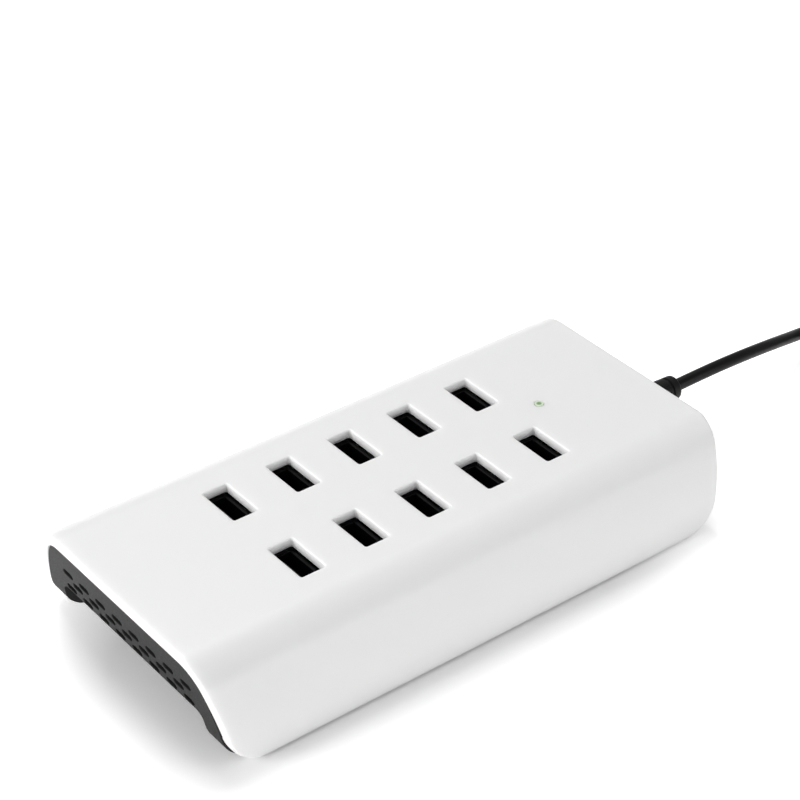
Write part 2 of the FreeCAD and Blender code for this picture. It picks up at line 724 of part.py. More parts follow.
def make_board():
    plate = block("board_plate", "0", "0", board_bottom, f"2 * {board_half_x}",
                  f"2 * {board_half_y}", "board_thickness")
    holes = [can(f"board_hole_{number}", x, y, f"{board_bottom} - cut_margin",
                 "board_screw_diameter + 2 * screw_clearance", "board_thickness + 2 * cut_margin")
             for number, (x, y) in enumerate(corners(screw_x, screw_y))]
    keep(combine("Cut", "board_drilled", plate, combine("MultiFuse", "board_holes", *holes)), "main_board")
    screws = []
    for number, (x, y) in enumerate(corners(screw_x, screw_y)):
        head = can(f"board_head_{number}", x, y, board_top, "board_head_diameter", "board_head_height")
        shank = can(f"board_shank_{number}", x, y, f"{board_bottom} - board_screw_grip",
                    "board_screw_diameter", "board_screw_grip + board_thickness")
        screws.append(combine("MultiFuse", f"board_screw_{number}", head, shank))
    keep(combine("Compound", "board_screw_group", *screws), "board_screws")


def make_supply():
    # Low parts only: the space over the board is about ten millimetres high.
    window_length = f"({core_length} - 2 * core_yoke)"
    window_width = "(core_width / 2 - outer_leg - leg_width / 2)"
    window_middle = f"(leg_width + {window_width}) / 2"
    core_z = f"({board_top} + core_cover)"
    frame = block("core_block", core_x, "0", core_z, core_length, "core_width", core_height)
    windows = [block(f"core_window_{side + 1}", core_x, f"{side} * {window_middle}", f"{core_z} - cut_margin",
                     window_length, window_width, f"{core_height} + 2 * cut_margin") for side in (-1, 1)]
    keep(combine("Cut", "core_frame", frame, combine("MultiFuse", "core_windows", *windows)),
         "transformer_core")
    bundle = block("winding_block", core_x, "0", board_top, f"{window_length} - 2 * winding_gap",
                   f"leg_width + 2 * {window_width} - 2 * winding_gap", part_room)
    tunnel = block("winding_tunnel", core_x, "0", core_z, window_length, "leg_width", core_height)
    keep(combine("Cut", "winding_ring", bundle, tunnel), "transformer_winding")

    cans = [rod(f"bulk_{side + 1}", f"{side} * bulk_spacing / 2 - bulk_length / 2", "0",
                f"{board_top} + {part_room} / 2", part_room, "bulk_length") for side in (-1, 1)]
    keep(combine("Compound", "bulk_group", *cans), "bulk_capacitors")
    fuse = rod("fuse_tube", f"{board_half_x} - fuse_end_gap", "fuse_place_y",
               f"{board_top} + fuse_diameter / 2", "fuse_diameter", "fuse_length")
    keep(fuse, "inlet_fuse")
    choke = doc.addObject("Part::Torus", "choke_ring")
    bind(choke, Radius1="choke_diameter / 2", Radius2="choke_section / 2")
    place(choke, f"{board_half_x} - choke_end_gap", "choke_place_y", f"{board_top} + choke_section / 2")
    keep(choke, "line_choke")
    filter_y = f"({board_half_y} - filter_side_gap)"
    keep(block("filter_block", f"{board_half_x} - filter_end_gap", filter_y, board_top, "filter_length",
               "filter_width", part_room), "filter_capacitor")
    keep(block("bridge_block", f"{last_column} * port_pitch + bridge_port_gap", filter_y, board_top,
               "bridge_length", "bridge_width", part_room), "bridge_rectifier")

    sink_y = f"({board_half_y} - sink_side_gap)"
    sink_length = f"({core_length} - sink_inset)"
    plate = block("sink_plate_block", core_x, sink_y, board_top, sink_length, "sink_plate", part_room)
    fins = [block(f"sink_fin_{side + 1}", f"{core_x} + {side} * ({sink_length} - sink_fin_width) / 2",
                  f"{sink_y} - (sink_plate + sink_fin_depth) / 2", board_top, "sink_fin_width",
                  "sink_fin_depth", part_room) for side in (-1, 1)]
    keep(combine("MultiFuse", "sink_comb", plate, *fins), "heat_sink")
    keep(block("switch_block", core_x, f"{sink_y} - (sink_plate + switch_depth) / 2", board_top,
               f"{core_length} - switch_inset", "switch_depth", f"{part_room} - sink_plate"),
         "switching_transistor")

    # Three cans share the length of the transformer
    outputs = [can(f"output_{step + 1}", f"{core_x} + {step} * 0.4 * {core_length}",
                   f"output_side_gap - {board_half_y}", board_top, f"0.35 * {core_length}",
                   f"{part_room} - part_gap") for step in (-1, 0, 1)]
    keep(combine("Compound", "output_group", *outputs), "output_capacitors")
    # One chip in each gap between the columns of ports
    chips = [block(f"chip_{gap}", f"({gap} - {last_column} + 0.5) * port_pitch",
                   f"chip_side_gap - {board_half_y}", board_top, "chip_length", "chip_width", "chip_height")
             for gap in range(port_columns - 1)]
    keep(combine("Compound", "chip_group", *chips), "charge_controllers")


def make_indicator():
    keep(block("lamp_chip", "lamp_place", "0", board_top, "lamp_length", "lamp_width", "lamp_height"),
         "power_led")
    pipe_low = f"({board_top} + lamp_height + lamp_gap)"
    stem = can("pipe_stem", "lamp_place", "0", pipe_low, "lamp_window - 2 * pipe_clearance",
               f"shell_height - {pipe_low}")
    collar = can("pipe_collar_ring", "lamp_place", "0", f"{ceiling} - pipe_collar_height", "pipe_collar",
                 "pipe_collar_height")
    keep(combine("MultiFuse", "pipe_piece", stem, collar), "light_pipe")


# Fasteners and feet

def make_fasteners():
    screws = []
    for number, (x, y) in enumerate(corners(boss_x, boss_y)):
        head = can(f"base_head_{number}", x, y, "arch_height", "screw_head_diameter", "screw_head_height")
        shank = can(f"base_shank_{number}", x, y, "arch_height + screw_head_height", "screw_diameter",
                    "tray_floor - screw_head_height + screw_length")
        screws.append(combine("MultiFuse", f"base_screw_{number}", head, shank))
    keep(combine("Compound", "base_screw_group", *screws), "base_screws")
    pads = [block(f"foot_{number}", x, y, "0", "foot_length", "foot_width", "foot_depth")
            for number, (x, y) in enumerate(corners(foot_x, rail_middle))]
    keep(combine("Compound", "foot_group", *pads), "rubber_feet")


# Cord inlet

def make_inlet():
    boot_start = f"({wall_at_inlet} - {wall_along_x} - boot_flange)"
    boot_end = f"({wall_at_inlet} + boot_length)"
    cone = doc.addObject("Part::Cone", "boot_cone")
    cone.Placement = FreeCAD.Placement(Vector(), FreeCAD.Rotation(Vector(0, 1, 0), 90))
    bind(cone, Radius1="boot_root / 2", Radius2="boot_tip / 2", Height=f"{boot_end} - {boot_start}")
    place(cone, boot_start, "inlet_place", "inlet_height")
    doc.recompute()
    tip_edge = max(range(len(cone.Shape.Edges)), key=lambda number: cone.Shape.Edges[number].CenterOfMass.x)
    rounded = doc.addObject("Part::Fillet", "boot_rounded")
    rounded.Base = cone
    rounded.Edges = [(tip_edge + 1, mm("boot_round"), mm("boot_round"))]
    # The end wall, which the boot's groove grips, as a slanted slab with the inlet's hole
    slab = doc.addObject("Part::Box", "inlet_slab")
    bind(slab, Length="tray_wall", Width="2 * boot_root", Height="4 * boot_root")
    slab.Placement = FreeCAD.Placement(Vector(), FreeCAD.Rotation(Vector(0, 1, 0), mm("tray_slope")))
    slab_low = f"{wall_at_inlet} - {wall_along_x} - 2 * boot_root * {tray_run}"
    place(slab, slab_low, "inlet_place - boot_root", "inlet_height - 2 * boot_root")
    neck = rod("inlet_neck", f"{boot_start} - cut_margin", "inlet_place", "inlet_height", "inlet_bore",
               f"{boot_end} - {boot_start}")
    ring = combine("Cut", "inlet_slab_ring", slab, neck)
    # The flange inside stands on the tray's floor, so its underside is flat.
    floor_end = f"({wall_at_inlet} - {wall_along_x} - (inlet_height - {floor_top}) * {tray_run})"
    flat_start = f"({boot_start} - cut_margin)"
    flat = block("inlet_flat", f"({floor_end} + {flat_start}) / 2", "inlet_place", "0",
                 f"{floor_end} - {flat_start}", "2 * boot_root", floor_top)
    around = combine("MultiFuse", "inlet_surround", ring, flat)
    boot = keep(combine("Cut", "boot_piece", rounded, around), "strain_relief")
    wire_z = f"{board_top} + wire_diameter / 2"
    wires = [rod(f"wire_{side + 1}", f"{boot_start} - wire_reach", f"inlet_place + {side} * wire_spacing / 2",
                 wire_z, "wire_diameter", "wire_reach") for side in (-1, 1)]
    keep(combine("Compound", "wire_group", *wires), "inlet_wires")
    return boot


# Cord, with its unseen length in a coil

def rounded_path(name, points):
    # Straight runs joined by tangent arcs, each as large as its two runs allow.
    edges = []
    start = points[0]
    radii = []
    for before, corner, after in zip(points, points[1:], points[2:]):
        towards = (before - corner).normalize()
        away = (after - corner).normalize()
        half_turn = (math.pi - towards.getAngle(away)) / 2
        reach = 0.45 * min(before.distanceToPoint(corner), corner.distanceToPoint(after))
        radii.append(reach / math.tan(half_turn))
        enter = corner + towards * reach
        leave = corner + away * reach
        bisector = (towards + away).normalize()
        to_centre = radii[-1] / math.cos(half_turn)
        middle = corner + bisector * (to_centre - radii[-1])
        edges.append(Part.LineSegment(start, enter).toShape())
        edges.append(Part.Arc(enter, middle, leave).toShape())
        start = leave
    edges.append(Part.LineSegment(start, points[-1]).toShape())
    print(name, "bend radii in mm:", [round(radius, 1) for radius in radii])
    return Part.Wire(edges)


def cord_solid(name, points, neighbours):
    # The tube along the route, cut flush with what it runs into at either end.
    path = rounded_path(name, points)
    first_run = points[1] - points[0]
    radius = mm("cord_diameter") / 2
    section = Part.Wire(Part.makeCircle(radius, points[0], first_run))
    tube = path.makePipeShell([section], True, False)
    print(name, "length", round(path.Length, 1), "volume ratio",
          round(tube.Volume / (math.pi * radius ** 2 * path.Length), 4))
    for neighbour in neighbours:
        tube = max(tube.cut(neighbour.Shape).Solids, key=lambda solid: solid.Volume)
    return tube


def make_cord(boot):
    diameter = mm("cord_diameter")
    coil_span = f"({coil_columns} * cord_diameter + 2 * coil_slack)"
    coil_height = f"({coil_layers} * cord_diameter + 2 * coil_slack)"
    coil_x = f"({wall_at_inlet} + boot_length + coil_reach)"
    drum = can("coil_drum", coil_x, "coil_place_y", "coil_lift", f"coil_diameter + {coil_span}",
               coil_height)
    eye = can("coil_eye", coil_x, "coil_place_y", "coil_lift - cut_margin",
              f"coil_diameter - {coil_span}", f"{coil_height} + 2 * cut_margin")
    coil = keep(combine("Cut", "coil_ring", drum, eye), "cord_coil")

    band_x = f"{coil_x} + coil_diameter / 2"
    room_length = f"({coil_span} + 2 * tie_slack)"
    room_height = f"({coil_height} + 2 * tie_gap)"
    band = block("tie_block", band_x, "coil_place_y", "coil_lift - tie_gap - tie_thickness",
                 f"{room_length} + 2 * tie_thickness", "tie_width", f"{room_height} + 2 * tie_thickness")
    room = block("tie_room", band_x, "coil_place_y", "coil_lift - tie_gap", room_length,
                 "tie_width + 2 * cut_margin", room_height)
    keep(combine("Cut", "tie_loop", band, room), "coil_tie")
    doc.recompute()

    boot_end = mm("shell_length") / 2 - mm("tray_recess") + mm("boot_length")
    boot_end -= (mm("shell_height") - mm("inlet_height")) * math.tan(math.radians(mm("tray_slope")))
    tip = Vector(boot_end, mm("inlet_place"), mm("inlet_height"))
    coil_middle = Vector(boot_end + mm("coil_reach"), mm("coil_place_y"), mm("coil_lift"))
    outer_turn = mm("coil_diameter") / 2 + (coil_columns - 1) / 2 * diameter
    enter_angle = math.radians(112)
    first_layer = mm("coil_slack") + diameter / 2
    enter = coil_middle + Vector(outer_turn * math.cos(enter_angle), outer_turn * math.sin(enter_angle),
                                 first_layer)
    leave = coil_middle + Vector(0, -outer_turn, first_layer + (coil_layers - 1) * diameter)
    plug_start = Vector(leave.x - mm("plug_tail_gap"), leave.y, mm("plug_height") / 2)

    plug = new_body("plug_body")
    plug.Placement = FreeCAD.Placement(plug_start, FreeCAD.Rotation(Vector(0, 0, 1), 180))
    relief = new_sketch(plug, "plug_relief_section", "YZ_Plane")
    circle(relief, "0", "0", "plug_relief_tip / 2")
    taper = feature(plug, "Pad", "plug_relief", relief, "plug_relief_length")
    bind(taper, TaperAngle="atan((plug_relief_root - plug_relief_tip) / 2 / plug_relief_length)")
    front = new_sketch(plug, "plug_section", "YZ_Plane", "plug_relief_length")
    rectangle(front, "-plug_width / 2", "plug_width / 2", "-plug_height / 2", "plug_height / 2")
    feature(plug, "Pad", "plug_block", front, "plug_length")

    def long_edge(edge):
        box = edge.BoundBox
        return box.XLength > mm("plug_length") * 0.9 and box.YLength + box.ZLength < 1e-6

    round_edges(plug, "plug_rounds", "plug_round", long_edge)
    blade_x = plug_start.x - mm("plug_relief_length") - mm("plug_length") - mm("blade_length") / 2
    blades = [block(f"blade_{side + 1}", f"{blade_x}", f"{plug_start.y} + {side} * blade_spacing / 2",
                    "plug_height / 2 - blade_width / 2", "blade_length", "blade_thickness", "blade_width")
              for side in (-1, 1)]
    keep(combine("Compound", "blade_group", *blades), "plug_blades")
    doc.recompute()

    # The route, from the boot's tip down to the surface and on to the coil
    steps = [(-mm("cord_seat"), 0, 0), (10.15, -0.9, -0.2), (23.45, -0.8, -1.3), (36.95, 1.4, -3.6),
             (46.95, 3.9, -5.8), (55.65, 6.6, -8.0), (67.45, 11.6, -11.2), (79.45, 17.6, -12.6)]
    lead = [tip + Vector(*step) for step in steps] + [enter]
    tube = doc.addObject("Part::Feature", "lead_tube")
    tube.Shape = cord_solid("cord_tube", lead, [boot, coil])
    keep(tube, "cord_tube")
    tail = [leave, leave + Vector(-8.0, 0, -0.8), leave + Vector(-15.5, 0, -1.1),
            plug_start - Vector(mm("cord_seat"), 0, 0)]
    end_tube = doc.addObject("Part::Feature", "tail_tube")
    end_tube.Shape = cord_solid("cord_tail", tail, [coil, plug])
    keep(end_tube, "cord_tail")


make_top_shell()
make_base_tray()
for number, x, y in port_places():
    make_receptacle(number, x, y)
make_board()
make_supply()
make_indicator()
make_fasteners()
make_cord(make_inlet())
doc.recompute()

faults = [item.Name for item in doc.Objects if {"Invalid", "Error"} & set(item.State)]
faults += [piece.Label for piece in pieces if piece.Shape.isNull() or not piece.Shape.isValid()]
if faults:
    raise RuntimeError(f"These objects failed: {faults}")

os.makedirs("parts", exist_ok=True)
for piece in pieces:
    piece.Shape.exportStep(f"parts/{piece.Label}.step")
print(len(pieces), "pieces written")
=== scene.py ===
import bpy
import bmesh
import json
import math
from mathutils import Matrix, Vector


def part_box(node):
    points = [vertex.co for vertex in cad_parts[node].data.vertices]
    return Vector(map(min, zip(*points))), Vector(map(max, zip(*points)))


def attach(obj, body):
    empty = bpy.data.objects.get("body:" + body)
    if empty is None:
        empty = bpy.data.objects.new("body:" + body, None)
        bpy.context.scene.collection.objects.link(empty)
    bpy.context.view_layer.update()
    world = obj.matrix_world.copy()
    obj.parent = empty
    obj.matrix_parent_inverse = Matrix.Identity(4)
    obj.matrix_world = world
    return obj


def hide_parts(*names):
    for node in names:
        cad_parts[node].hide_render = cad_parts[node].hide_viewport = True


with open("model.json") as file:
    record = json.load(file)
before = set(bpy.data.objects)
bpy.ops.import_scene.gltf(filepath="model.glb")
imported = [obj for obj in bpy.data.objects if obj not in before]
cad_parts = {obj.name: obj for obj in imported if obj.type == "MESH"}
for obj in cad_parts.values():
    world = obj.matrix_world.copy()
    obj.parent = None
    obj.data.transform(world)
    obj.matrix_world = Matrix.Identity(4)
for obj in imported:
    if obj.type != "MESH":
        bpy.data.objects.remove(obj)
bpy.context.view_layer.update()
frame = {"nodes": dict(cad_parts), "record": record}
nodes = frame["nodes"]
mm = 0.001
hair = 0.001  # mm, keeps a full round from closing its flat sides
weldGap = 0.002  # mm, points that are closer become one
overcut = 2.0  # mm, how far a cutter reaches past what it cuts
print("frame loaded:", len(nodes), "nodes")


# small helpers

def linear(hexColour):  # sRGB hex to a linear colour with alpha
    channels = [int(hexColour[i:i + 2], 16) / 255 for i in (1, 3, 5)]
    return [c / 12.92 if c <= 0.04045 else ((c + 0.055) / 1.055) ** 2.4 for c in channels] + [1.0]


def addNode(tree, kind, settings=None, inputs=None):  # a socket among the inputs is linked, a value is set
    node = tree.nodes.new(kind)
    for key, value in (settings or {}).items():
        setattr(node, key, value)
    for key, value in (inputs or {}).items():
        if isinstance(value, bpy.types.NodeSocket):
            tree.links.new(value, node.inputs[key])
        else:
            node.inputs[key].default_value = value
    return node


def newObject(name, data):
    piece = bpy.data.objects.new(name, data)
    bpy.context.scene.collection.objects.link(piece)
    return piece


def meshFrom(name, verts, faces):  # places in mm
    mesh = bpy.data.meshes.new(name)
    mesh.from_pydata([Vector(v) * mm for v in verts], [], faces)
    bm = bmesh.new()
    bm.from_mesh(mesh)
    bmesh.ops.remove_doubles(bm, verts=bm.verts, dist=weldGap * mm)
    bmesh.ops.recalc_face_normals(bm, faces=bm.faces)
    bm.to_mesh(mesh)
    bm.free()
    return newObject(name, mesh)


def settle(piece):  # modifiers become a plain mesh
    bpy.context.view_layer.update()
    evaluated = piece.evaluated_get(bpy.context.evaluated_depsgraph_get())
    mesh = bpy.data.meshes.new_from_object(evaluated)
    piece.modifiers.clear()
    old = piece.data
    piece.data = mesh
    bpy.data.meshes.remove(old)
    return piece


def combine(piece, other, operation):  # the other object is used up
    change = piece.modifiers.new("change", "BOOLEAN")
    change.object = other
    change.operation = operation
    change.solver = "EXACT"
    settle(piece)
    bpy.data.objects.remove(other)
    return piece


def carve(piece, *cutters):
    for cutter in cutters:
        combine(piece, cutter, "DIFFERENCE")
    return piece


def soften(piece, width, segments=3, angle=40, chosen=None):  # small moulded rounds on the sharp edges
    bm = bmesh.new()
    bm.from_mesh(piece.data)
    weight = bm.edges.layers.float.new("bevel_weight_edge")
    for edge in bm.edges:
        middle = (edge.verts[0].co + edge.verts[1].co) / 2 / mm
        sharp = len(edge.link_faces) == 2 and edge.calc_face_angle() > math.radians(angle)
        edge[weight] = float(sharp and (chosen is None or chosen(middle)))
    bm.to_mesh(piece.data)
    bm.free()
    bevel = piece.modifiers.new("rounds", "BEVEL")
    bevel.width = width * mm
    bevel.segments = segments
    bevel.limit_method = "WEIGHT"
    bevel.use_clamp_overlap = False
    bevel.miter_outer = "MITER_ARC"
    settle(piece)
    piece.data.attributes.remove(piece.data.attributes["bevel_weight_edge"])
    return smoothPiece(piece)


def smoothPiece(piece, angle=32):  # edges flatter than the angle are shaded smooth
    piece.data.shade_smooth()
    bm = bmesh.new()
    bm.from_mesh(piece.data)
    for edge in bm.edges:
        edge.smooth = len(edge.link_faces) != 2 or edge.calc_face_angle() < math.radians(angle)
    bm.to_mesh(piece.data)
    bm.free()
    weigh = piece.modifiers.new("normals", "WEIGHTED_NORMAL")
    weigh.keep_sharp = True
    return settle(piece)


def dress(piece, finish, slotName, *replaced):
    piece.data.materials.clear()
    piece.data.materials.append(finish)
    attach(piece, "root")
    if replaced:
        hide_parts(*replaced)
    return piece


# outlines and solids, all in mm

def arc(centreX, centreY, radius, start, end, steps):  # angles in radians
    angles = [start + (end - start) * i / steps for i in range(steps + 1)]
    return [(centreX + radius * math.cos(a), centreY + radius * math.sin(a)) for a in angles]


def roundedRect(width, depth, radius, steps=6):
    points = []
    for cornerX, cornerY, start in ((1, 1, 0), (-1, 1, 90), (-1, -1, 180), (1, -1, 270)):
        points += arc(cornerX * (width / 2 - radius), cornerY * (depth / 2 - radius), radius,
                      math.radians(start), math.radians(start + 90), steps)
    return points


def obround(width, depth, steps):  # a slot with full round ends, or a circle
    return roundedRect(width, depth, min(width, depth) / 2 - hair, steps)


def moved(outline, a, b):
    return [(u + a, v + b) for u, v in outline]


def skin(name, rings):  # faces from ring to ring, each of as many points, and a cap on both ends
    count = len(rings[0])
    verts = [point for ring in rings for point in ring]
    faces = []
    for first in range(0, len(verts) - count, count):
        for i in range(count):
            j = (i + 1) % count
            faces.append([first + i, first + j, first + count + j, first + count + i])
    faces += [list(range(count))[::-1], list(range(len(verts) - count, len(verts)))]
    return meshFrom(name, verts, faces)


def prism(name, outline, low, high, axis="z"):  # an outline drawn out along one axis
    turn = {"x": lambda a, b, c: (c, a, b), "y": lambda a, b, c: (a, c, b),
            "z": lambda a, b, c: (a, b, c)}[axis]
    return skin(name, [[turn(a, b, c) for a, b in outline] for c in (low, high)])


def lathe(name, profile, centre, steps=64):  # a profile of (x, radius) turned round an axis along X
    rings = []
    for x, radius in profile:
        ring = arc(centre[0], centre[1], radius, 0.0, 2 * math.pi, steps)[:-1]
        rings.append([(x, y, z) for y, z in ring])
    return skin(name, rings)


# camera, at the photograph's view

cameraLook = {"place": (-0.30804, -0.40267, 0.39699), "right": (0.7903, -0.6127, -0.0003),
              "forward": (0.5064, 0.6534, -0.5627), "lens": 107.62, "sensor": 36.0, "near": 0.01}


def makeCamera(look):
    data = bpy.data.cameras.new("camera")
    data.sensor_width = look["sensor"]
    data.sensor_fit = "HORIZONTAL"
    data.lens = look["lens"]
    data.clip_start = look["near"]
    camera = newObject("camera", data)
    forward = Vector(look["forward"]).normalized()
    right = Vector(look["right"]).normalized()
    up = right.cross(forward).normalized()
    turn = Matrix((right, up, -forward)).transposed().to_4x4()
    camera.matrix_world = Matrix.Translation(look["place"]) @ turn
    bpy.context.scene.camera = camera


makeCamera(cameraLook)
print("camera set")


# finishes

pattern = {"grainDetail": 2.0, "grainRoughness": 0.55, "cloudDetail": 3.0, "grainSpread": (0.3, 0.7),
           "glossSwing": 0.05, "reliefShare": 0.3}


def paintedGlowAndShade(tree, coords, tone, look):  # a core, a painted pale glow at the rim, and painted shade: black below the face, where no light reaches
    height = addNode(tree, "ShaderNodeSeparateXYZ", {}, {"Vector": coords}).outputs["Z"]
    face = addNode(tree, "ShaderNodeMapRange", {}, {"Value": height, "From Min": look["paintedShadeBelowMm"][0] * mm,
                                                    "From Max": look["paintedShadeBelowMm"][1] * mm})
    flat = addNode(tree, "ShaderNodeVectorMath", {"operation": "MULTIPLY"}, {0: coords, 1: (1, 1, 0)})
    out = addNode(tree, "ShaderNodeVectorMath", {"operation": "DISTANCE"},
                  {0: flat.outputs[0], 1: (look["axisMm"] * mm, 0, 0)})
    rim = addNode(tree, "ShaderNodeMapRange", {}, {"Value": out.outputs["Value"],
                                                   "From Min": look["paintedGlowMm"][0] * mm,
                                                   "From Max": look["paintedGlowMm"][1] * mm})
    # painted glow: a pale colour mixed in towards the rim of the window
    tone = addNode(tree, "ShaderNodeMix", {"data_type": "RGBA"},
                   {"Factor": rim.outputs["Result"], "A": tone.outputs["Result"],
                    "B": linear(look["paintedGlowColour"])})
    # painted shade: black below the face
    return addNode(tree, "ShaderNodeMix", {"data_type": "RGBA"},
                   {"Factor": face.outputs["Result"], "A": [0, 0, 0, 1], "B": tone.outputs["Result"]})


def makeFinish(name, look):
    finish = bpy.data.materials.new(name)
    finish.use_nodes = True
    tree = finish.node_tree
    tree.nodes.clear()
    coords = addNode(tree, "ShaderNodeTexCoord").outputs["Object"]
    grain = addNode(tree, "ShaderNodeTexNoise", {},
                    {"Vector": coords, "Scale": 1 / (look["grainMm"] * mm), "Detail": pattern["grainDetail"],
                     "Roughness": pattern["grainRoughness"]})
    cloud = addNode(tree, "ShaderNodeTexNoise", {},
                    {"Vector": coords, "Scale": 1 / (look["cloudMm"] * mm), "Detail": pattern["cloudDetail"]})
    base = linear(look["colour"])
    shade = look["mottle"]
    tone = addNode(tree, "ShaderNodeMix", {"data_type": "RGBA"},
                   {"Factor": cloud.outputs["Fac"], "A": [c * (1 - shade) for c in base[:3]] + [1],
                    "B": [min(1, c * (1 + shade)) for c in base[:3]] + [1]})
    gloss = addNode(tree, "ShaderNodeMapRange", {},
                    {"Value": grain.outputs["Fac"], "From Min": pattern["grainSpread"][0],
                     "From Max": pattern["grainSpread"][1], "To Min": look["rough"] - pattern["glossSwing"],
                     "To Max": look["rough"] + pattern["glossSwing"]})
    bump = addNode(tree, "ShaderNodeBump", {},
                   {"Height": grain.outputs["Fac"], "Strength": look["relief"],
                    "Distance": look["grainMm"] * mm * pattern["reliefShare"]})
    # painted glow and painted shade, only for finishes that ask for them
    if "paintedShadeBelowMm" in look:
        tone = paintedGlowAndShade(tree, coords, tone, look)
    shader = addNode(tree, "ShaderNodeBsdfPrincipled", {},
                     {"Base Color": tone.outputs["Result"], "Roughness": gloss.outputs["Result"],
                      "Normal": bump.outputs["Normal"], "Metallic": look.get("metal", 0.0)})
    for socket, value in look.get("sockets", {}).items():
        shader.inputs[socket].default_value = value
    addNode(tree, "ShaderNodeOutputMaterial", {}, {"Surface": shader.outputs["BSDF"]})
    return finish


finishLooks = {
    # ABS, moulded in a fine spark-eroded tool: an even satin white, with its grain drawn coarse to show
    "whiteAbs": {"colour": "#ECECEC", "rough": 0.42, "grainMm": 0.5, "cloudMm": 18, "mottle": 0.006,
                 "relief": 0.05,
                 "sockets": {"IOR": 1.5, "Subsurface Weight": 0.9, "Subsurface Radius": (1, 1, 1),
                             "Subsurface Scale": 2.5 * mm}},
    # ABS in dark grey from a coarser tool: dull, hides finger marks
    "greyAbs": {"colour": "#242424", "rough": 0.6, "grainMm": 0.5, "cloudMm": 9, "mottle": 0.04,
                "relief": 0.16, "sockets": {"IOR": 1.5, "Specular IOR Level": 0.2}},
    # stamped steel with dull black plating
    "blackPlating": {"colour": "#070708", "rough": 0.6, "grainMm": 0.3, "cloudMm": 4, "mottle": 0.08,
                     "relief": 0.05, "metal": 0.2, "sockets": {"Specular IOR Level": 0.12}},
    # glass-filled nylon: black and dry
    "blackNylon": {"colour": "#0C0C0D", "rough": 0.6, "grainMm": 0.3, "cloudMm": 3, "mottle": 0.06,
                   "relief": 0.1},
    # gold flash over nickel
    "goldFlash": {"colour": "#C9A558", "rough": 0.3, "grainMm": 0.2, "cloudMm": 2, "mottle": 0.05,
                  "relief": 0.03, "metal": 1.0},
    # tinted acrylic, polished: a darker core, a pale rim of painted glow for the light it lets through, and
    # painted shade below its face
    "greenAcrylic": {"colour": "#7F9F72", "rough": 0.2, "grainMm": 0.4, "cloudMm": 2, "mottle": 0.03,
                     "relief": 0.02, "paintedShadeBelowMm": (26.5, 28.0), "axisMm": 52.0, "paintedGlowMm": (0.45, 0.95),
                     "paintedGlowColour": "#D9E8CF", "sockets": {"IOR": 1.49}},
    # soft PVC, extruded: black with a broad low sheen
    "blackPvc": {"colour": "#080809", "rough": 0.42, "grainMm": 0.6, "cloudMm": 7, "mottle": 0.08,
                 "relief": 0.06, "sockets": {"IOR": 1.53, "Specular IOR Level": 0.2}},
    # PVC moulded over the cord's end: duller than the cord
    "bootPvc": {"colour": "#0A0A0B", "rough": 0.5, "grainMm": 0.5, "cloudMm": 6, "mottle": 0.08,
                "relief": 0.12, "sockets": {"IOR": 1.53, "Specular IOR Level": 0.25}},
    # nylon strap
    "blackStrap": {"colour": "#161617", "rough": 0.65, "grainMm": 0.5, "cloudMm": 3, "mottle": 0.12,
                   "relief": 0.35},
    # brass blades with thin nickel, drawn and stamped
    "nickelBrass": {"colour": "#C8C2B0", "rough": 0.28, "grainMm": 0.4, "cloudMm": 6, "mottle": 0.05,
                    "relief": 0.05, "metal": 1.0},
    # zinc-plated steel
    "zincSteel": {"colour": "#A9ABAD", "rough": 0.35, "grainMm": 0.4, "cloudMm": 2, "mottle": 0.08,
                  "relief": 0.08, "metal": 1.0},
    # silicone rubber pads
    "padRubber": {"colour": "#1E1E1F", "rough": 0.75, "grainMm": 0.5, "cloudMm": 5, "mottle": 0.08,
                  "relief": 0.3},
    # glass-fibre board under a dark green, nearly black solder mask
    "solderMask": {"colour": "#0D1C13", "rough": 0.35, "grainMm": 0.8, "cloudMm": 6, "mottle": 0.2,
                   "relief": 0.1},
    # sintered ferrite
    "ferrite": {"colour": "#3A3A3C", "rough": 0.6, "grainMm": 0.3, "cloudMm": 4, "mottle": 0.1,
                "relief": 0.25},
    # polyester tape round the winding
    "yellowTape": {"colour": "#C9A02E", "rough": 0.35, "grainMm": 1.0, "cloudMm": 4, "mottle": 0.08,
                   "relief": 0.15},
    # shrink sleeve on the large cans
    "canSleeve": {"colour": "#20222B", "rough": 0.3, "grainMm": 0.6, "cloudMm": 5, "mottle": 0.1,
                  "relief": 0.05},
    # enamelled copper wire, wound close
    "copperWire": {"colour": "#A8552F", "rough": 0.35, "grainMm": 0.6, "cloudMm": 2, "mottle": 0.15,
                   "relief": 0.4, "metal": 0.8},
    # epoxy-filled box
    "filmBox": {"colour": "#C4A640", "rough": 0.5, "grainMm": 0.5, "cloudMm": 5, "mottle": 0.04,
                "relief": 0.1},
    # glass tube, ground ends
    "fuseGlass": {"colour": "#D8DAD8", "rough": 0.12, "grainMm": 0.8, "cloudMm": 4, "mottle": 0.02,
                  "relief": 0.02, "sockets": {"IOR": 1.5}},
    # epoxy moulding compound
    "blackEpoxy": {"colour": "#1C1C1D", "rough": 0.6, "grainMm": 0.3, "cloudMm": 3, "mottle": 0.06,
                   "relief": 0.15},
    # extruded aluminium
    "bareAluminium": {"colour": "#B9BBBD", "rough": 0.38, "grainMm": 0.4, "cloudMm": 4, "mottle": 0.05,
                      "relief": 0.08, "metal": 1.0},
    # clear lamp body
    "lampResin": {"colour": "#B8D6A6", "rough": 0.25, "grainMm": 0.3, "cloudMm": 1, "mottle": 0.03,
                  "relief": 0.03},
}
finishes = {name: makeFinish(name, look) for name, look in finishLooks.items()}
print("finishes made:", len(finishes))


# the repeating tree: one item on a grid of places

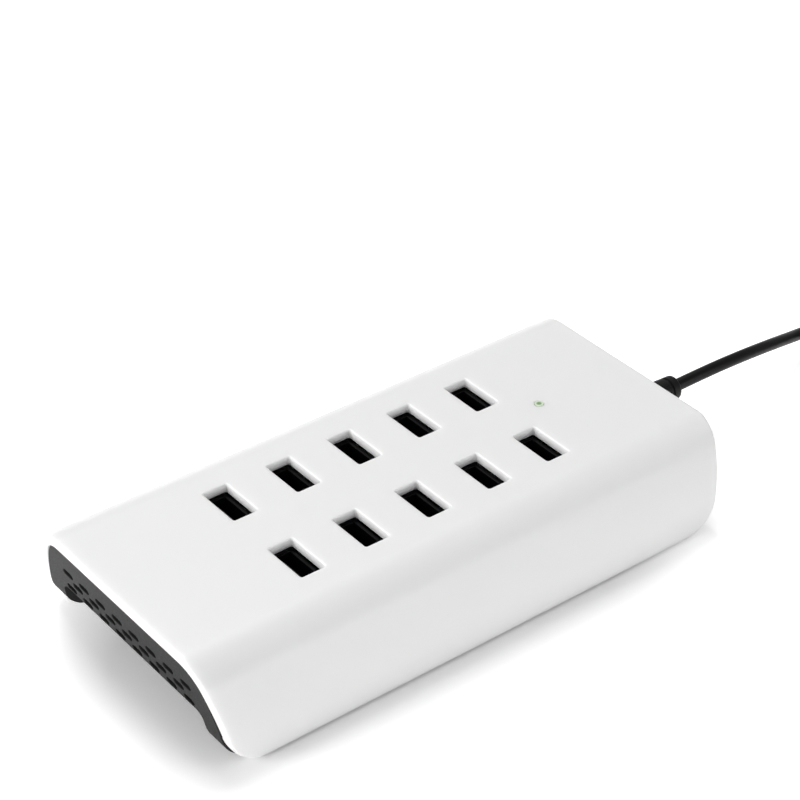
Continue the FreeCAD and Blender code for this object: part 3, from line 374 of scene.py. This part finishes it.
def makeGridTree():
    tree = bpy.data.node_groups.new("itemsOnGrid", "GeometryNodeTree")
    tree.interface.new_socket("Geometry", in_out="OUTPUT", socket_type="NodeSocketGeometry")
    for label, kind in (("Item", "Object"), ("Finish", "Material"), ("Span X", "Float"), ("Span Y", "Float"),
                        ("Columns", "Int"), ("Rows", "Int")):
        tree.interface.new_socket(label, in_out="INPUT", socket_type="NodeSocket" + kind)
    given = addNode(tree, "NodeGroupInput").outputs
    grid = addNode(tree, "GeometryNodeMeshGrid", {},
                   {"Size X": given["Span X"], "Size Y": given["Span Y"],
                    "Vertices X": given["Columns"], "Vertices Y": given["Rows"]})
    item = addNode(tree, "GeometryNodeObjectInfo", {}, {"Object": given["Item"]})
    placed = addNode(tree, "GeometryNodeInstanceOnPoints", {},
                     {"Points": grid.outputs["Mesh"], "Instance": item.outputs["Geometry"]})
    real = addNode(tree, "GeometryNodeRealizeInstances", {}, {"Geometry": placed.outputs["Instances"]})
    coated = addNode(tree, "GeometryNodeSetMaterial", {},
                     {"Geometry": real.outputs["Geometry"], "Material": given["Finish"]})
    addNode(tree, "NodeGroupOutput", {}, {"Geometry": coated.outputs["Geometry"]})
    return tree


gridTree = makeGridTree()


def onGrid(name, item, finish, spanX, spanY, columns=2, rows=2):  # spans in mm; the item is used up
    piece = newObject(name, bpy.data.meshes.new(name))
    modifier = piece.modifiers.new("grid", "NODES")
    modifier.node_group = gridTree
    values = {"Item": item, "Finish": finish, "Span X": spanX * mm, "Span Y": spanY * mm, "Columns": columns,
              "Rows": rows}
    for socket in gridTree.interface.items_tree:
        if socket.in_out == "INPUT":
            modifier[socket.identifier] = values[socket.name]
    settle(piece)
    bpy.data.objects.remove(item)
    return piece


# case outline, shared by the shell and the tray

case = {"length": 169.0, "width": 86.0, "height": 29.1, "low": 0.6, "upright": 1.4, "sideRadius": 45.0,
        "shoulderRadius": 12.0, "cornerRadius": 10.5, "wall": 3.0, "slope": 12.0, "sideSteps": 24,
        "shoulderSteps": 20}
around = {"x": 120.0, "y": 60.0, "low": -5.0, "high": 40.0}  # a box with room for the whole case


def caseOutline(inset, low):  # half section from the lower edge over the shoulder, then its mirror image
    sideY = case["width"] / 2 - case["sideRadius"]
    sideZ = case["low"] + case["upright"]
    shoulderZ = case["height"] - case["shoulderRadius"]
    gap = case["sideRadius"] - case["shoulderRadius"]
    shoulderY = sideY + math.sqrt(gap ** 2 - (shoulderZ - sideZ) ** 2)
    meet = math.atan2(shoulderZ - sideZ, shoulderY - sideY)
    half = [(case["width"] / 2 - inset, low), (case["width"] / 2 - inset, (low + sideZ) / 2)]
    half += arc(sideY, sideZ, case["sideRadius"] - inset, 0.0, meet, case["sideSteps"])
    half += arc(shoulderY, shoulderZ, case["shoulderRadius"] - inset, meet, math.pi / 2,
                case["shoulderSteps"])[1:]
    return half + [(-y, z) for y, z in reversed(half)]


def endReach(z, slope, recess=0.0):  # half length at a height on the slanted end
    return case["length"] / 2 - recess - (case["height"] - z) * math.tan(math.radians(slope))


def cornerCentre(slope, recess, radius):  # of an end's lower corner, and the height where the slant starts
    tilt = math.radians(slope)
    centreZ = case["low"] + radius
    touchZ = centreZ - radius * math.sin(tilt)
    return endReach(touchZ, slope, recess) - radius * math.cos(tilt), centreZ, touchZ


# white shell

shell = {"portPitch": 20.0, "rowPitch": 29.3, "columns": 5, "rows": 2, "portWidth": 7.5, "portLength": 14.55,
         "portCorner": 0.6, "lampPlace": 52.0, "lampWindow": 2.6, "lampSteps": 8, "edgeRound": 0.4,
         "roundAbove": 9.5, "endRound": 1.0, "endSteps": 6, "cornerSteps": 12, "ringSteps": 5,
         "levelGap": 0.03, "flatAngle": 0.2}


def shellBlock(name):  # level rings from the lower edge to the top, each a rectangle with small round corners
    radius, turn, slope = case["cornerRadius"], shell["endRound"], case["slope"]
    centreX, centreZ, touchZ = cornerCentre(slope, 0.0, radius)
    side = [(z, y) for y, z in caseOutline(0.0, case["low"]) if y > 0]

    def halfLength(z):
        if z < touchZ:
            return centreX + math.sqrt(max(0.0, radius ** 2 - (centreZ - z) ** 2))
        over = max(0.0, z - case["height"] + turn)  # height inside the round along the end's upper edge
        return endReach(z, slope) - turn + math.sqrt(turn ** 2 - over ** 2)

    def halfWidth(z):
        for (lowZ, lowY), (highZ, highY) in zip(side, side[1:]):
            if z <= highZ:
                return lowY + (highY - lowY) * (z - lowZ) / (highZ - lowZ)
        return side[-1][1]

    heights = [z for z, y in side]
    corner = arc(centreX, centreZ, radius, -math.pi / 2, -math.radians(slope), shell["cornerSteps"])
    edge = arc(0.0, case["height"] - turn, turn, 0.0, math.pi / 2, shell["endSteps"])[:-1]
    heights += [z for x, z in corner + edge]
    levels = []
    for z in sorted(heights):
        if not levels or z - levels[-1] > shell["levelGap"] or z == case["height"]:
            levels.append(z)
    rings = []
    for z in levels:
        ring = roundedRect(2 * halfLength(z), 2 * halfWidth(z), turn, shell["ringSteps"])
        rings.append([(x, y, z) for x, y in ring])
    piece = skin(name, rings)
    bm = bmesh.new()
    bm.from_mesh(piece.data)
    bmesh.ops.dissolve_limit(bm, angle_limit=math.radians(shell["flatAngle"]), verts=bm.verts,
                             edges=bm.edges)  # leaves one face for each end
    bm.to_mesh(piece.data)
    bm.free()
    return piece


def onPorts(name, item, finish):
    return onGrid(name, item, finish, (shell["columns"] - 1) * shell["portPitch"],
                  (shell["rows"] - 1) * shell["rowPitch"], shell["columns"], shell["rows"])


def makeShell():
    reach = case["length"] / 2 + overcut
    low, high = case["height"] - case["wall"] - overcut, case["height"] + overcut  # through the top
    piece = shellBlock("shellMoulding")
    hollow = prism("hollowCutter", caseOutline(case["wall"], case["low"] - overcut), -reach, reach, "x")
    portHole = roundedRect(shell["portWidth"], shell["portLength"], shell["portCorner"])
    mouths = onPorts("mouthCutters", prism("mouthCutter", portHole, low, high), finishes["whiteAbs"])
    lampHole = obround(shell["lampWindow"], shell["lampWindow"], shell["lampSteps"])
    window = prism("windowCutter", moved(lampHole, shell["lampPlace"], 0.0), low, high)
    carve(piece, hollow, mouths, window)
    soften(piece, shell["edgeRound"], chosen=lambda p: p.z > shell["roundAbove"])
    return dress(piece, finishes["whiteAbs"], "white_shell", "top_shell")


makeShell()
print("shell made")


# dark tray

tray = {"clearance": 0.15, "recess": 0.7, "slope": 9.0, "cornerRadius": 9.0, "cornerSteps": 14, "wall": 2.2,
        "floor": 1.6, "archHeight": 11.4, "archSpan": 64.0, "archFlare": 1.2, "archRadius": 2.5,
        "archSteps": 9, "ventRows": ((8, 1.0), (7, 1.5), (8, 1.0)), "ventPitch": 7.7, "ventWidth": 4.4,
        "ventHeight": 1.7, "ventLow": 12.85, "ventRise": 2.55, "ventOut": 6.0, "ventIn": 4.5, "ventSteps": 8,
        "screwX": 74.5, "screwY": 24.0, "screwBed": 5.6, "screwSink": 0.9, "bedSteps": 10, "inletY": -2.0,
        "inletZ": 15.2, "inletBore": 6.2, "inletFrom": 70.0, "inletTo": 90.0, "inletSteps": 12,
        "edgeRound": 0.3, "edgeSteps": 2, "roundAbove": 2.0}


def trayOutline():
    half, top, radius = tray["archSpan"] / 2, tray["archHeight"], tray["archRadius"]
    arch = [(-half - tray["archFlare"], case["low"])]
    arch += arc(-half + radius, top - radius, radius, math.pi, math.pi / 2, tray["archSteps"])
    outline = caseOutline(case["wall"] + tray["clearance"], case["low"])
    return outline + arch + [(-y, z) for y, z in reversed(arch)]


def endCutter(end):  # all outside a slanted end with a round lower corner
    slope, recess, radius = tray["slope"], tray["recess"], tray["cornerRadius"]
    centreX, centreZ, touchZ = cornerCentre(slope, recess, radius)
    outline = [(endReach(around["high"], slope, recess), around["high"])]
    outline += arc(centreX, centreZ, radius, -math.radians(slope), -math.pi / 2, tray["cornerSteps"])
    outline += [(centreX, around["low"]), (around["x"], around["low"]), (around["x"], around["high"])]
    return prism("endCutter", [(end * x, z) for x, z in outline], -around["y"], around["y"], "y")


def ventCutter(end):  # every slot of one end wall; the cord's end leaves a gap in each row
    slotShape = obround(tray["ventWidth"], tray["ventHeight"], tray["ventSteps"])
    wallX = endReach(tray["ventLow"], tray["slope"])
    low, high = sorted((end * (wallX - tray["ventIn"]), end * (wallX + tray["ventOut"])))
    cutters = []
    for level, (count, gap) in enumerate(tray["ventRows"]):
        for i in range(count):
            place = i - (count - 1) / 2
            if end > 0 and abs(place) < gap:
                continue
            outline = moved(slotShape, place * tray["ventPitch"], tray["ventLow"] + level * tray["ventRise"])
            cutters.append(prism("slot", outline, low, high, "x"))
    joined = cutters[0]
    with bpy.context.temp_override(active_object=joined, selected_editable_objects=cutters):
        bpy.ops.object.join()
    return joined


def makeTray():
    piece = prism("trayMoulding", trayOutline(), -case["length"] / 2, case["length"] / 2, "x")
    floorTop, bayTop = tray["archHeight"] + tray["floor"], case["height"] + overcut
    wallX = tray["wall"] / math.cos(math.radians(tray["slope"]))
    bayLow = endReach(floorTop, tray["slope"], tray["recess"]) - wallX
    bayHigh = endReach(bayTop, tray["slope"], tray["recess"]) - wallX
    bay = prism("bayCutter", [(-bayLow, floorTop), (bayLow, floorTop), (bayHigh, bayTop), (-bayHigh, bayTop)],
                -around["y"], around["y"], "y")
    bore = obround(tray["inletBore"], tray["inletBore"], tray["inletSteps"])
    inlet = prism("inletCutter", moved(bore, tray["inletY"], tray["inletZ"]), tray["inletFrom"],
                  tray["inletTo"], "x")
    bed = prism("bedCutter", obround(tray["screwBed"], tray["screwBed"], tray["bedSteps"]),
                tray["archHeight"] - overcut, tray["archHeight"] + tray["screwSink"])
    beds = onGrid("bedCutters", bed, finishes["greyAbs"], 2 * tray["screwX"], 2 * tray["screwY"])
    carve(piece, endCutter(-1), endCutter(1), bay, ventCutter(-1), ventCutter(1), inlet, beds)
    soften(piece, tray["edgeRound"], tray["edgeSteps"], chosen=lambda p: p.z > tray["roundAbove"])
    return dress(piece, finishes["greyAbs"], "grey_tray", "base_tray")


makeTray()
print("tray made")


# receptacle shells, screws and pads: one item each, set out by the grid tree

receptacle = {"width": 5.7, "length": 13.1, "corner": 0.6, "wall": 0.35, "boreCorner": 0.35,
              "flangeWidth": 7.0, "flangeLength": 14.2, "flangeCorner": 0.9, "flange": 0.4, "low": 16.1,
              "mouth": 25.8, "edgeRound": 0.12, "edgeSteps": 2}


def makeReceptacles():
    wide, long, wall = receptacle["width"], receptacle["length"], receptacle["wall"]
    low, mouth = receptacle["low"], receptacle["mouth"]
    tube = prism("tube", roundedRect(wide, long, receptacle["corner"]), low, mouth)
    flange = roundedRect(receptacle["flangeWidth"], receptacle["flangeLength"], receptacle["flangeCorner"])
    combine(tube, prism("lip", flange, mouth - receptacle["flange"], mouth), "UNION")
    bore = roundedRect(wide - 2 * wall, long - 2 * wall, receptacle["boreCorner"])
    carve(tube, prism("bore", bore, low - overcut, mouth + overcut))
    soften(tube, receptacle["edgeRound"], receptacle["edgeSteps"])
    piece = onPorts("receptacleShells", tube, finishes["blackPlating"])
    replaced = [f"usb_shell_{i:02d}" for i in range(1, shell["columns"] * shell["rows"] + 1)]
    return dress(piece, finishes["blackPlating"], "port_metal", *replaced)


makeReceptacles()

screw = {"head": 5.4, "headHeight": 0.9, "headSteps": 10, "shank": 2.9, "shankStart": 0.5, "shankSteps": 6,
         "top": 22.0, "crossLong": 2.8, "crossWide": 0.8, "crossDeep": 0.6, "crossCorner": 0.1,
         "crossSteps": 1, "edgeRound": 0.12, "edgeSteps": 2}


def makeScrews():
    low = tray["archHeight"]
    head = prism("screwHead", obround(screw["head"], screw["head"], screw["headSteps"]), low,
                 low + screw["headHeight"])
    shank = prism("screwShank", obround(screw["shank"], screw["shank"], screw["shankSteps"]),
                  low + screw["shankStart"], screw["top"])
    combine(head, shank, "UNION")
    for a, b in ((screw["crossLong"], screw["crossWide"]), (screw["crossWide"], screw["crossLong"])):
        bar = roundedRect(a, b, screw["crossCorner"], screw["crossSteps"])
        carve(head, prism("bar", bar, low - overcut, low + screw["crossDeep"]))
    soften(head, screw["edgeRound"], screw["edgeSteps"])
    piece = onGrid("baseScrews", head, finishes["zincSteel"], 2 * tray["screwX"], 2 * tray["screwY"])
    return dress(piece, finishes["zincSteel"], "screw_steel", "base_screws")


makeScrews()

pad = {"length": 22.0, "width": 5.0, "height": 1.4, "corner": 1.2, "cornerSteps": 5, "edgeRound": 0.25,
       "placeX": 54.0, "placeY": 36.525}


def makePads():
    outline = roundedRect(pad["length"], pad["width"], pad["corner"], pad["cornerSteps"])
    block = soften(prism("pad", outline, 0.0, pad["height"]), pad["edgeRound"])
    piece = onGrid("standingPads", block, finishes["padRubber"], 2 * pad["placeX"], 2 * pad["placeY"])
    return dress(piece, finishes["padRubber"], "foot_rubber", "rubber_feet")


makePads()
print("receptacles, screws and pads made")


# cord: lead with its coil and tail, boot, plug and tie

cordLook = {"diameter": 3.6, "turnPitch": 4.6, "coilPlace": (205.0, -12.3), "coilAcross": 55.2,
            "coilLift": 1.15, "columns": 4, "enterAngle": 112.0, "leaveAngle": -90.0, "pointsPerTurn": 20,
            "turns": 7, "stepOver": 0.25, "tailFall": ((8.0, 0.8), (15.5, 1.1)),
            "tailEnd": (181.0, -46.8, 7.5), "aroundSteps": 6, "alongSteps": 8, "order": 3}
leadPoints = [(101.0, -2.0, 15.2), (113.2, -2.9, 16.2), (126.5, -2.8, 15.7), (140.0, -0.6, 12.9),
              (150.0, 1.9, 9.9), (158.7, 4.6, 6.8), (170.5, 7.1, 3.8), (182.5, 14.6, 2.6)]


def coilPoints():  # inwards along the lower layer, then outwards along the upper one
    pitch, count, columns = cordLook["turnPitch"], cordLook["pointsPerTurn"], cordLook["columns"]
    middleX, middleY = cordLook["coilPlace"]
    outer = cordLook["coilAcross"] / 2 + (columns - 1) / 2 * pitch
    partTurn = (cordLook["enterAngle"] - cordLook["leaveAngle"]) / 360

    def column(whole):
        return whole if whole < columns else 2 * columns - 1 - whole

    points = []
    for step in range(cordLook["turns"] * count + round(count * partTurn) + 1):
        turn = step / count
        whole = int(turn)
        shift = max(0.0, (turn - whole - 1) / cordLook["stepOver"] + 1)  # a turn's last part steps over
        shift = shift * shift * (3 - 2 * shift) if whole < cordLook["turns"] else 0.0
        place = column(whole) * (1 - shift) + column(min(whole + 1, 2 * columns - 1)) * shift
        layer = shift if whole == columns - 1 else float(whole >= columns)
        radius = outer - place * pitch
        a = math.radians(cordLook["enterAngle"] - 360 * turn)
        points.append((middleX + radius * math.cos(a), middleY + radius * math.sin(a),
                       cordLook["coilLift"] + pitch / 2 + layer * pitch))
    return points


def makeCord():
    route = leadPoints + coilPoints()
    leaveX, leaveY, leaveZ = route[-1]
    route += [(leaveX - along, leaveY, leaveZ - fall) for along, fall in cordLook["tailFall"]]
    route.append(cordLook["tailEnd"])  # inside the plug's relief
    curve = bpy.data.curves.new("mainsLead", "CURVE")
    curve.dimensions = "3D"
    curve.bevel_depth = cordLook["diameter"] / 2 * mm
    curve.bevel_resolution = cordLook["aroundSteps"]
    curve.resolution_u = cordLook["alongSteps"]
    curve.use_fill_caps = True
    spline = curve.splines.new("NURBS")
    spline.points.add(len(route) - 1)
    for point, place in zip(spline.points, route):
        point.co = (*(Vector(place) * mm), 1.0)
    spline.order_u = cordLook["order"]
    spline.use_endpoint_u = True
    lead = newObject("mainsLead", curve)
    return dress(lead, finishes["blackPvc"], "cord_rubber", "cord_tube", "cord_coil", "cord_tail")


lead = makeCord()

boot = {"start": 77.37, "end": 101.6, "root": 9.0, "tip": 7.1, "round": 0.7, "roundSteps": 8,
        "neckHigh": 81.6, "neckRadius": 3.0, "neckSink": 1.0, "neckReach": 0.9, "faceStep": 0.05,
        "faceRound": 0.3, "bodyStart": 1.2, "bodySteps": 11, "groovePlace": 2.6, "grooveWide": 0.9,
        "grooveDeep": 0.5, "grooveSteps": 8, "cordGrip": 0.1, "smoothAngle": 50}


def makeBoot():
    def radiusAt(x):
        share = (x - boot["start"]) / (boot["end"] - boot["start"])
        return (boot["root"] + (boot["tip"] - boot["root"]) * share) / 2

    neck, end, turn = boot["neckHigh"], boot["end"], boot["round"]
    bodyStart = neck + boot["bodyStart"]
    grooveStart = end - boot["groovePlace"] - boot["grooveWide"]
    profile = [(neck - boot["neckSink"], boot["neckRadius"]), (neck + boot["neckReach"], boot["neckRadius"]),
               (neck + boot["neckReach"] + boot["faceStep"], radiusAt(neck) - boot["faceRound"]),
               (bodyStart, radiusAt(neck))]
    for i in range(1, boot["bodySteps"] + 1):
        x = bodyStart + (grooveStart - bodyStart) * i / boot["bodySteps"]
        profile.append((x, radiusAt(x)))
    for i in range(1, boot["grooveSteps"] + 1):  # a round groove behind the end collar
        x = grooveStart + boot["grooveWide"] * i / boot["grooveSteps"]
        profile.append((x, radiusAt(x) - boot["grooveDeep"] * math.sin(math.pi * i / boot["grooveSteps"])))
    profile.append((end - turn, radiusAt(end - turn)))
    profile += arc(end - turn, radiusAt(end) - turn, turn, math.pi / 2, 0.0, boot["roundSteps"])[1:]
    profile.append((end, cordLook["diameter"] / 2 - boot["cordGrip"]))
    piece = lathe("cordBoot", profile, (tray["inletY"], tray["inletZ"]))
    smoothPiece(piece, boot["smoothAngle"])
    return dress(piece, finishes["bootPvc"], "cord_rubber", "strain_relief")


bootPiece = makeBoot()

plug = {"start": 182.0, "y": -46.8, "z": 7.5, "reliefLong": 14.0, "reliefRoot": 9.0, "reliefTip": 6.4,
        "ribs": 4, "long": 26.0, "wide": 25.0, "high": 15.0, "corner": 4.0, "cornerSteps": 12,
        "smoothAngle": 40,
        "ribShape": ((0.0, 0.0), (0.62, 0.0), (0.7, 0.7), (0.95, 0.7)),  # share of a rib's length, depth
        "front": ((0.4, 0.62, 0.72), (2.0, 0.82, 0.9), (5.0, 0.95, 1.0), (9.0, 1.0, 1.0)),  # place, shares
        "back": ((1.0, 0.0), (0.3, 0.3), (0.0, 1.0))}  # distance from the blades' face, inset


def makePlug():
    sections = []  # distance from the cord, half width, half height
    ribStep = plug["reliefLong"] / plug["ribs"]
    for i in range(plug["ribs"]):  # ringed relief
        half = (plug["reliefTip"] + (plug["reliefRoot"] - plug["reliefTip"]) * i / plug["ribs"]) / 2
        sections += [((i + share) * ribStep, half - deep, half - deep) for share, deep in plug["ribShape"]]
    wide, high, start = plug["wide"] / 2, plug["high"] / 2, plug["reliefLong"]
    sections.append((start, plug["reliefRoot"] / 2, plug["reliefRoot"] / 2))
    sections += [(start + along, wide * shareY, high * shareZ) for along, shareY, shareZ in plug["front"]]
    sections += [(start + plug["long"] - away, wide - inset, high - inset) for away, inset in plug["back"]]
    rings = []
    for along, halfWide, halfHigh in sections:
        corner = min(halfWide, halfHigh) - hair if along <= start else plug["corner"]
        ring = roundedRect(2 * halfWide, 2 * halfHigh, corner, plug["cornerSteps"])
        rings.append([(plug["start"] - along, plug["y"] + y, plug["z"] + z) for y, z in ring])
    piece = smoothPiece(skin("plugMoulding", rings), plug["smoothAngle"])
    return dress(piece, finishes["bootPvc"], "plug_vinyl", "plug_body")


plugPiece = makePlug()

blade = {"spacing": 12.7, "wide": 6.35, "thick": 1.5, "long": 17.0, "tipCut": 1.2, "hole": 3.2,
         "holePlace": 4.0, "holeSteps": 8, "edgeRound": 0.2, "edgeSteps": 2}


def makeBlades():
    start = plug["start"] - plug["reliefLong"] - plug["long"]
    tip, half, cut, deep = start - blade["long"], blade["wide"] / 2, blade["tipCut"], blade["thick"] / 2
    outline = [(start, -half), (start, half), (tip + cut, half), (tip, half - cut), (tip, cut - half),
               (tip + cut, -half)]
    item = prism("blade", outline, -deep, deep, "y")
    hole = moved(obround(blade["hole"], blade["hole"], blade["holeSteps"]), tip + blade["holePlace"], 0.0)
    carve(item, prism("hole", hole, -deep - overcut, deep + overcut, "y"))
    soften(item, blade["edgeRound"], blade["edgeSteps"])
    item.data.transform(Matrix.Translation((0, 0, plug["z"] * mm)))
    piece = onGrid("plugBlades", item, finishes["nickelBrass"], 0, blade["spacing"], 1, 2)
    piece.data.transform(Matrix.Translation((0, plug["y"] * mm, 0)))
    return dress(piece, finishes["nickelBrass"], "blade_brass", "plug_blades")


bladePieces = makeBlades()

tie = {"thick": 0.8, "corner": 1.6, "innerCorner": 0.9, "edgeRound": 0.2, "edgeSteps": 2}


def makeTie():
    low, high = (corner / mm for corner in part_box("coil_tie"))
    middle, size = (low + high) / 2, high - low
    outer = roundedRect(size.x, size.z, tie["corner"])
    inner = roundedRect(size.x - 2 * tie["thick"], size.z - 2 * tie["thick"], tie["innerCorner"])
    piece = prism("coilStrap", moved(outer, middle.x, middle.z), low.y, high.y, "y")
    carve(piece, prism("strapHole", moved(inner, middle.x, middle.z), low.y - overcut, high.y + overcut, "y"))
    soften(piece, tie["edgeRound"], tie["edgeSteps"])
    return dress(piece, finishes["blackStrap"], "tie_plastic", "coil_tie")


tiePiece = makeTie()
print("cord made")


# finishes of the solids that stay as they are

slotFinishes = {"white_shell": "whiteAbs", "grey_tray": "greyAbs", "port_metal": "blackPlating",
                "port_insulator": "blackNylon", "contact_metal": "goldFlash", "board_laminate": "solderMask",
                "ferrite": "ferrite", "winding_tape": "yellowTape", "can_sleeve": "canSleeve",
                "copper_winding": "copperWire", "film_box": "filmBox", "fuse_tube": "fuseGlass",
                "moulded_chip": "blackEpoxy", "sink_metal": "bareAluminium", "can_metal": "bareAluminium",
                "lamp_chip": "lampResin", "green_pipe": "greenAcrylic", "wire_sleeve": "blackPvc",
                "cord_rubber": "blackPvc", "tie_plastic": "blackStrap", "plug_vinyl": "bootPvc",
                "blade_brass": "nickelBrass", "screw_steel": "zincSteel", "foot_rubber": "padRubber"}
for part in frame["record"]["subparts"]:
    solid = nodes[part["node"]]
    finish = finishes[slotFinishes[part["material_slot"]]]
    if not solid.material_slots:
        solid.data.materials.append(finish)
    for place in solid.material_slots:
        place.material = finish
print("solids coated")


# studio: pale floor with a painted glow, soft lamps

# the floor's painted glow is weakest at the object's footprint and grows to its far level over the reach,
# hiding shadows farther out
studio = {"floorColour": "#FAFAFA", "floorReach": 4000.0, "nearPaintedGlow": 0.08, "farPaintedGlow": 0.60,
          "liftReach": 0.036, "footprint": (0.052, 0.0095, 1.0), "footprintPlace": (-0.015, -0.0135, 0.0),
          "footprintRound": 0.020, "skyLevel": 0.37, "skySeen": 1.0, "aim": (0.0, 0.0, 0.015),
          "lamps": (("keyLamp", (0.32, 1.25, 2.25), (1.1, 1.1), 31.5),  # name, place, size, power
                    ("frontLamp", (0.20, -2.10, 0.32), (2.4, 0.24), 19.4),
                    ("endLamp", (-2.50, 0.65, 0.88), (1.5, 1.5), 66.0))}


def makeFloor(look):
    reach = look["floorReach"]
    corners = [(-reach, -reach, 0), (reach, -reach, 0), (reach, reach, 0), (-reach, reach, 0)]
    floor = meshFrom("floor", corners, [[0, 1, 2, 3]])
    paint = bpy.data.materials.new("paperSweep")  # seamless paper: pale and dull, made white by a painted glow that the camera and reflections see
    paint.use_nodes = True
    tree = paint.node_tree
    tree.nodes.clear()

    def worked(kind, operation, *inputs):
        return addNode(tree, kind, {"operation": operation}, dict(enumerate(inputs))).outputs

    ray = addNode(tree, "ShaderNodeLightPath").outputs
    seen = worked("ShaderNodeMath", "MAXIMUM", ray["Is Camera Ray"], ray["Is Glossy Ray"])[0]
    seen = worked("ShaderNodeMath", "MAXIMUM", seen, ray["Is Transmission Ray"])[0]
    spot = addNode(tree, "ShaderNodeTexCoord").outputs["Object"]
    spot = worked("ShaderNodeVectorMath", "SUBTRACT", spot, look["footprintPlace"])[0]
    spot = worked("ShaderNodeVectorMath", "ABSOLUTE", spot)[0]
    spot = worked("ShaderNodeVectorMath", "SUBTRACT", spot, look["footprint"])[0]
    spot = worked("ShaderNodeVectorMath", "MAXIMUM", spot, (0, 0, 0))[0]
    away = worked("ShaderNodeVectorMath", "LENGTH", spot)["Value"]
    paintedFloorGlow = addNode(tree, "ShaderNodeMapRange", {},  # painted glow, weaker near the object: whiter away from it, so the shade near the object stays and shadows farther out are washed away
                    {"Value": away, "From Min": look["footprintRound"],
                     "From Max": look["footprintRound"] + look["liftReach"], "To Min": look["nearPaintedGlow"],
                     "To Max": look["farPaintedGlow"]})
    lift = worked("ShaderNodeMath", "MULTIPLY", seen, paintedFloorGlow.outputs["Result"])[0]
    glow = addNode(tree, "ShaderNodeEmission", {}, {"Strength": lift})
    dull = addNode(tree, "ShaderNodeBsdfDiffuse", {}, {"Color": linear(look["floorColour"])})
    both = addNode(tree, "ShaderNodeAddShader", {}, {0: dull.outputs[0], 1: glow.outputs[0]})
    addNode(tree, "ShaderNodeOutputMaterial", {}, {"Surface": both.outputs[0]})
    floor.data.materials.append(paint)


def makeSky(look):
    world = bpy.data.worlds.new("studioSky")
    bpy.context.scene.world = world
    world.use_nodes = True
    tree = world.node_tree
    tree.nodes.clear()
    ray = addNode(tree, "ShaderNodeLightPath").outputs["Is Camera Ray"]
    level = addNode(tree, "ShaderNodeMapRange", {},
                    {"Value": ray, "To Min": look["skyLevel"], "To Max": look["skySeen"]})
    sky = addNode(tree, "ShaderNodeBackground", {}, {"Strength": level.outputs["Result"]})
    addNode(tree, "ShaderNodeOutputWorld", {}, {"Surface": sky.outputs[0]})


def makeLamps(look):
    for name, place, size, power in look["lamps"]:
        data = bpy.data.lights.new(name, "AREA")
        data.shape = "RECTANGLE"
        data.size, data.size_y = size
        data.energy = power
        lamp = newObject(name, data)
        lamp.location = place
        lamp.rotation_euler = (Vector(look["aim"]) - Vector(place)).to_track_quat("-Z", "Y").to_euler()


makeFloor(studio)
makeSky(studio)
makeLamps(studio)
bpy.context.scene.view_settings.view_transform = "Standard"
print("studio set")
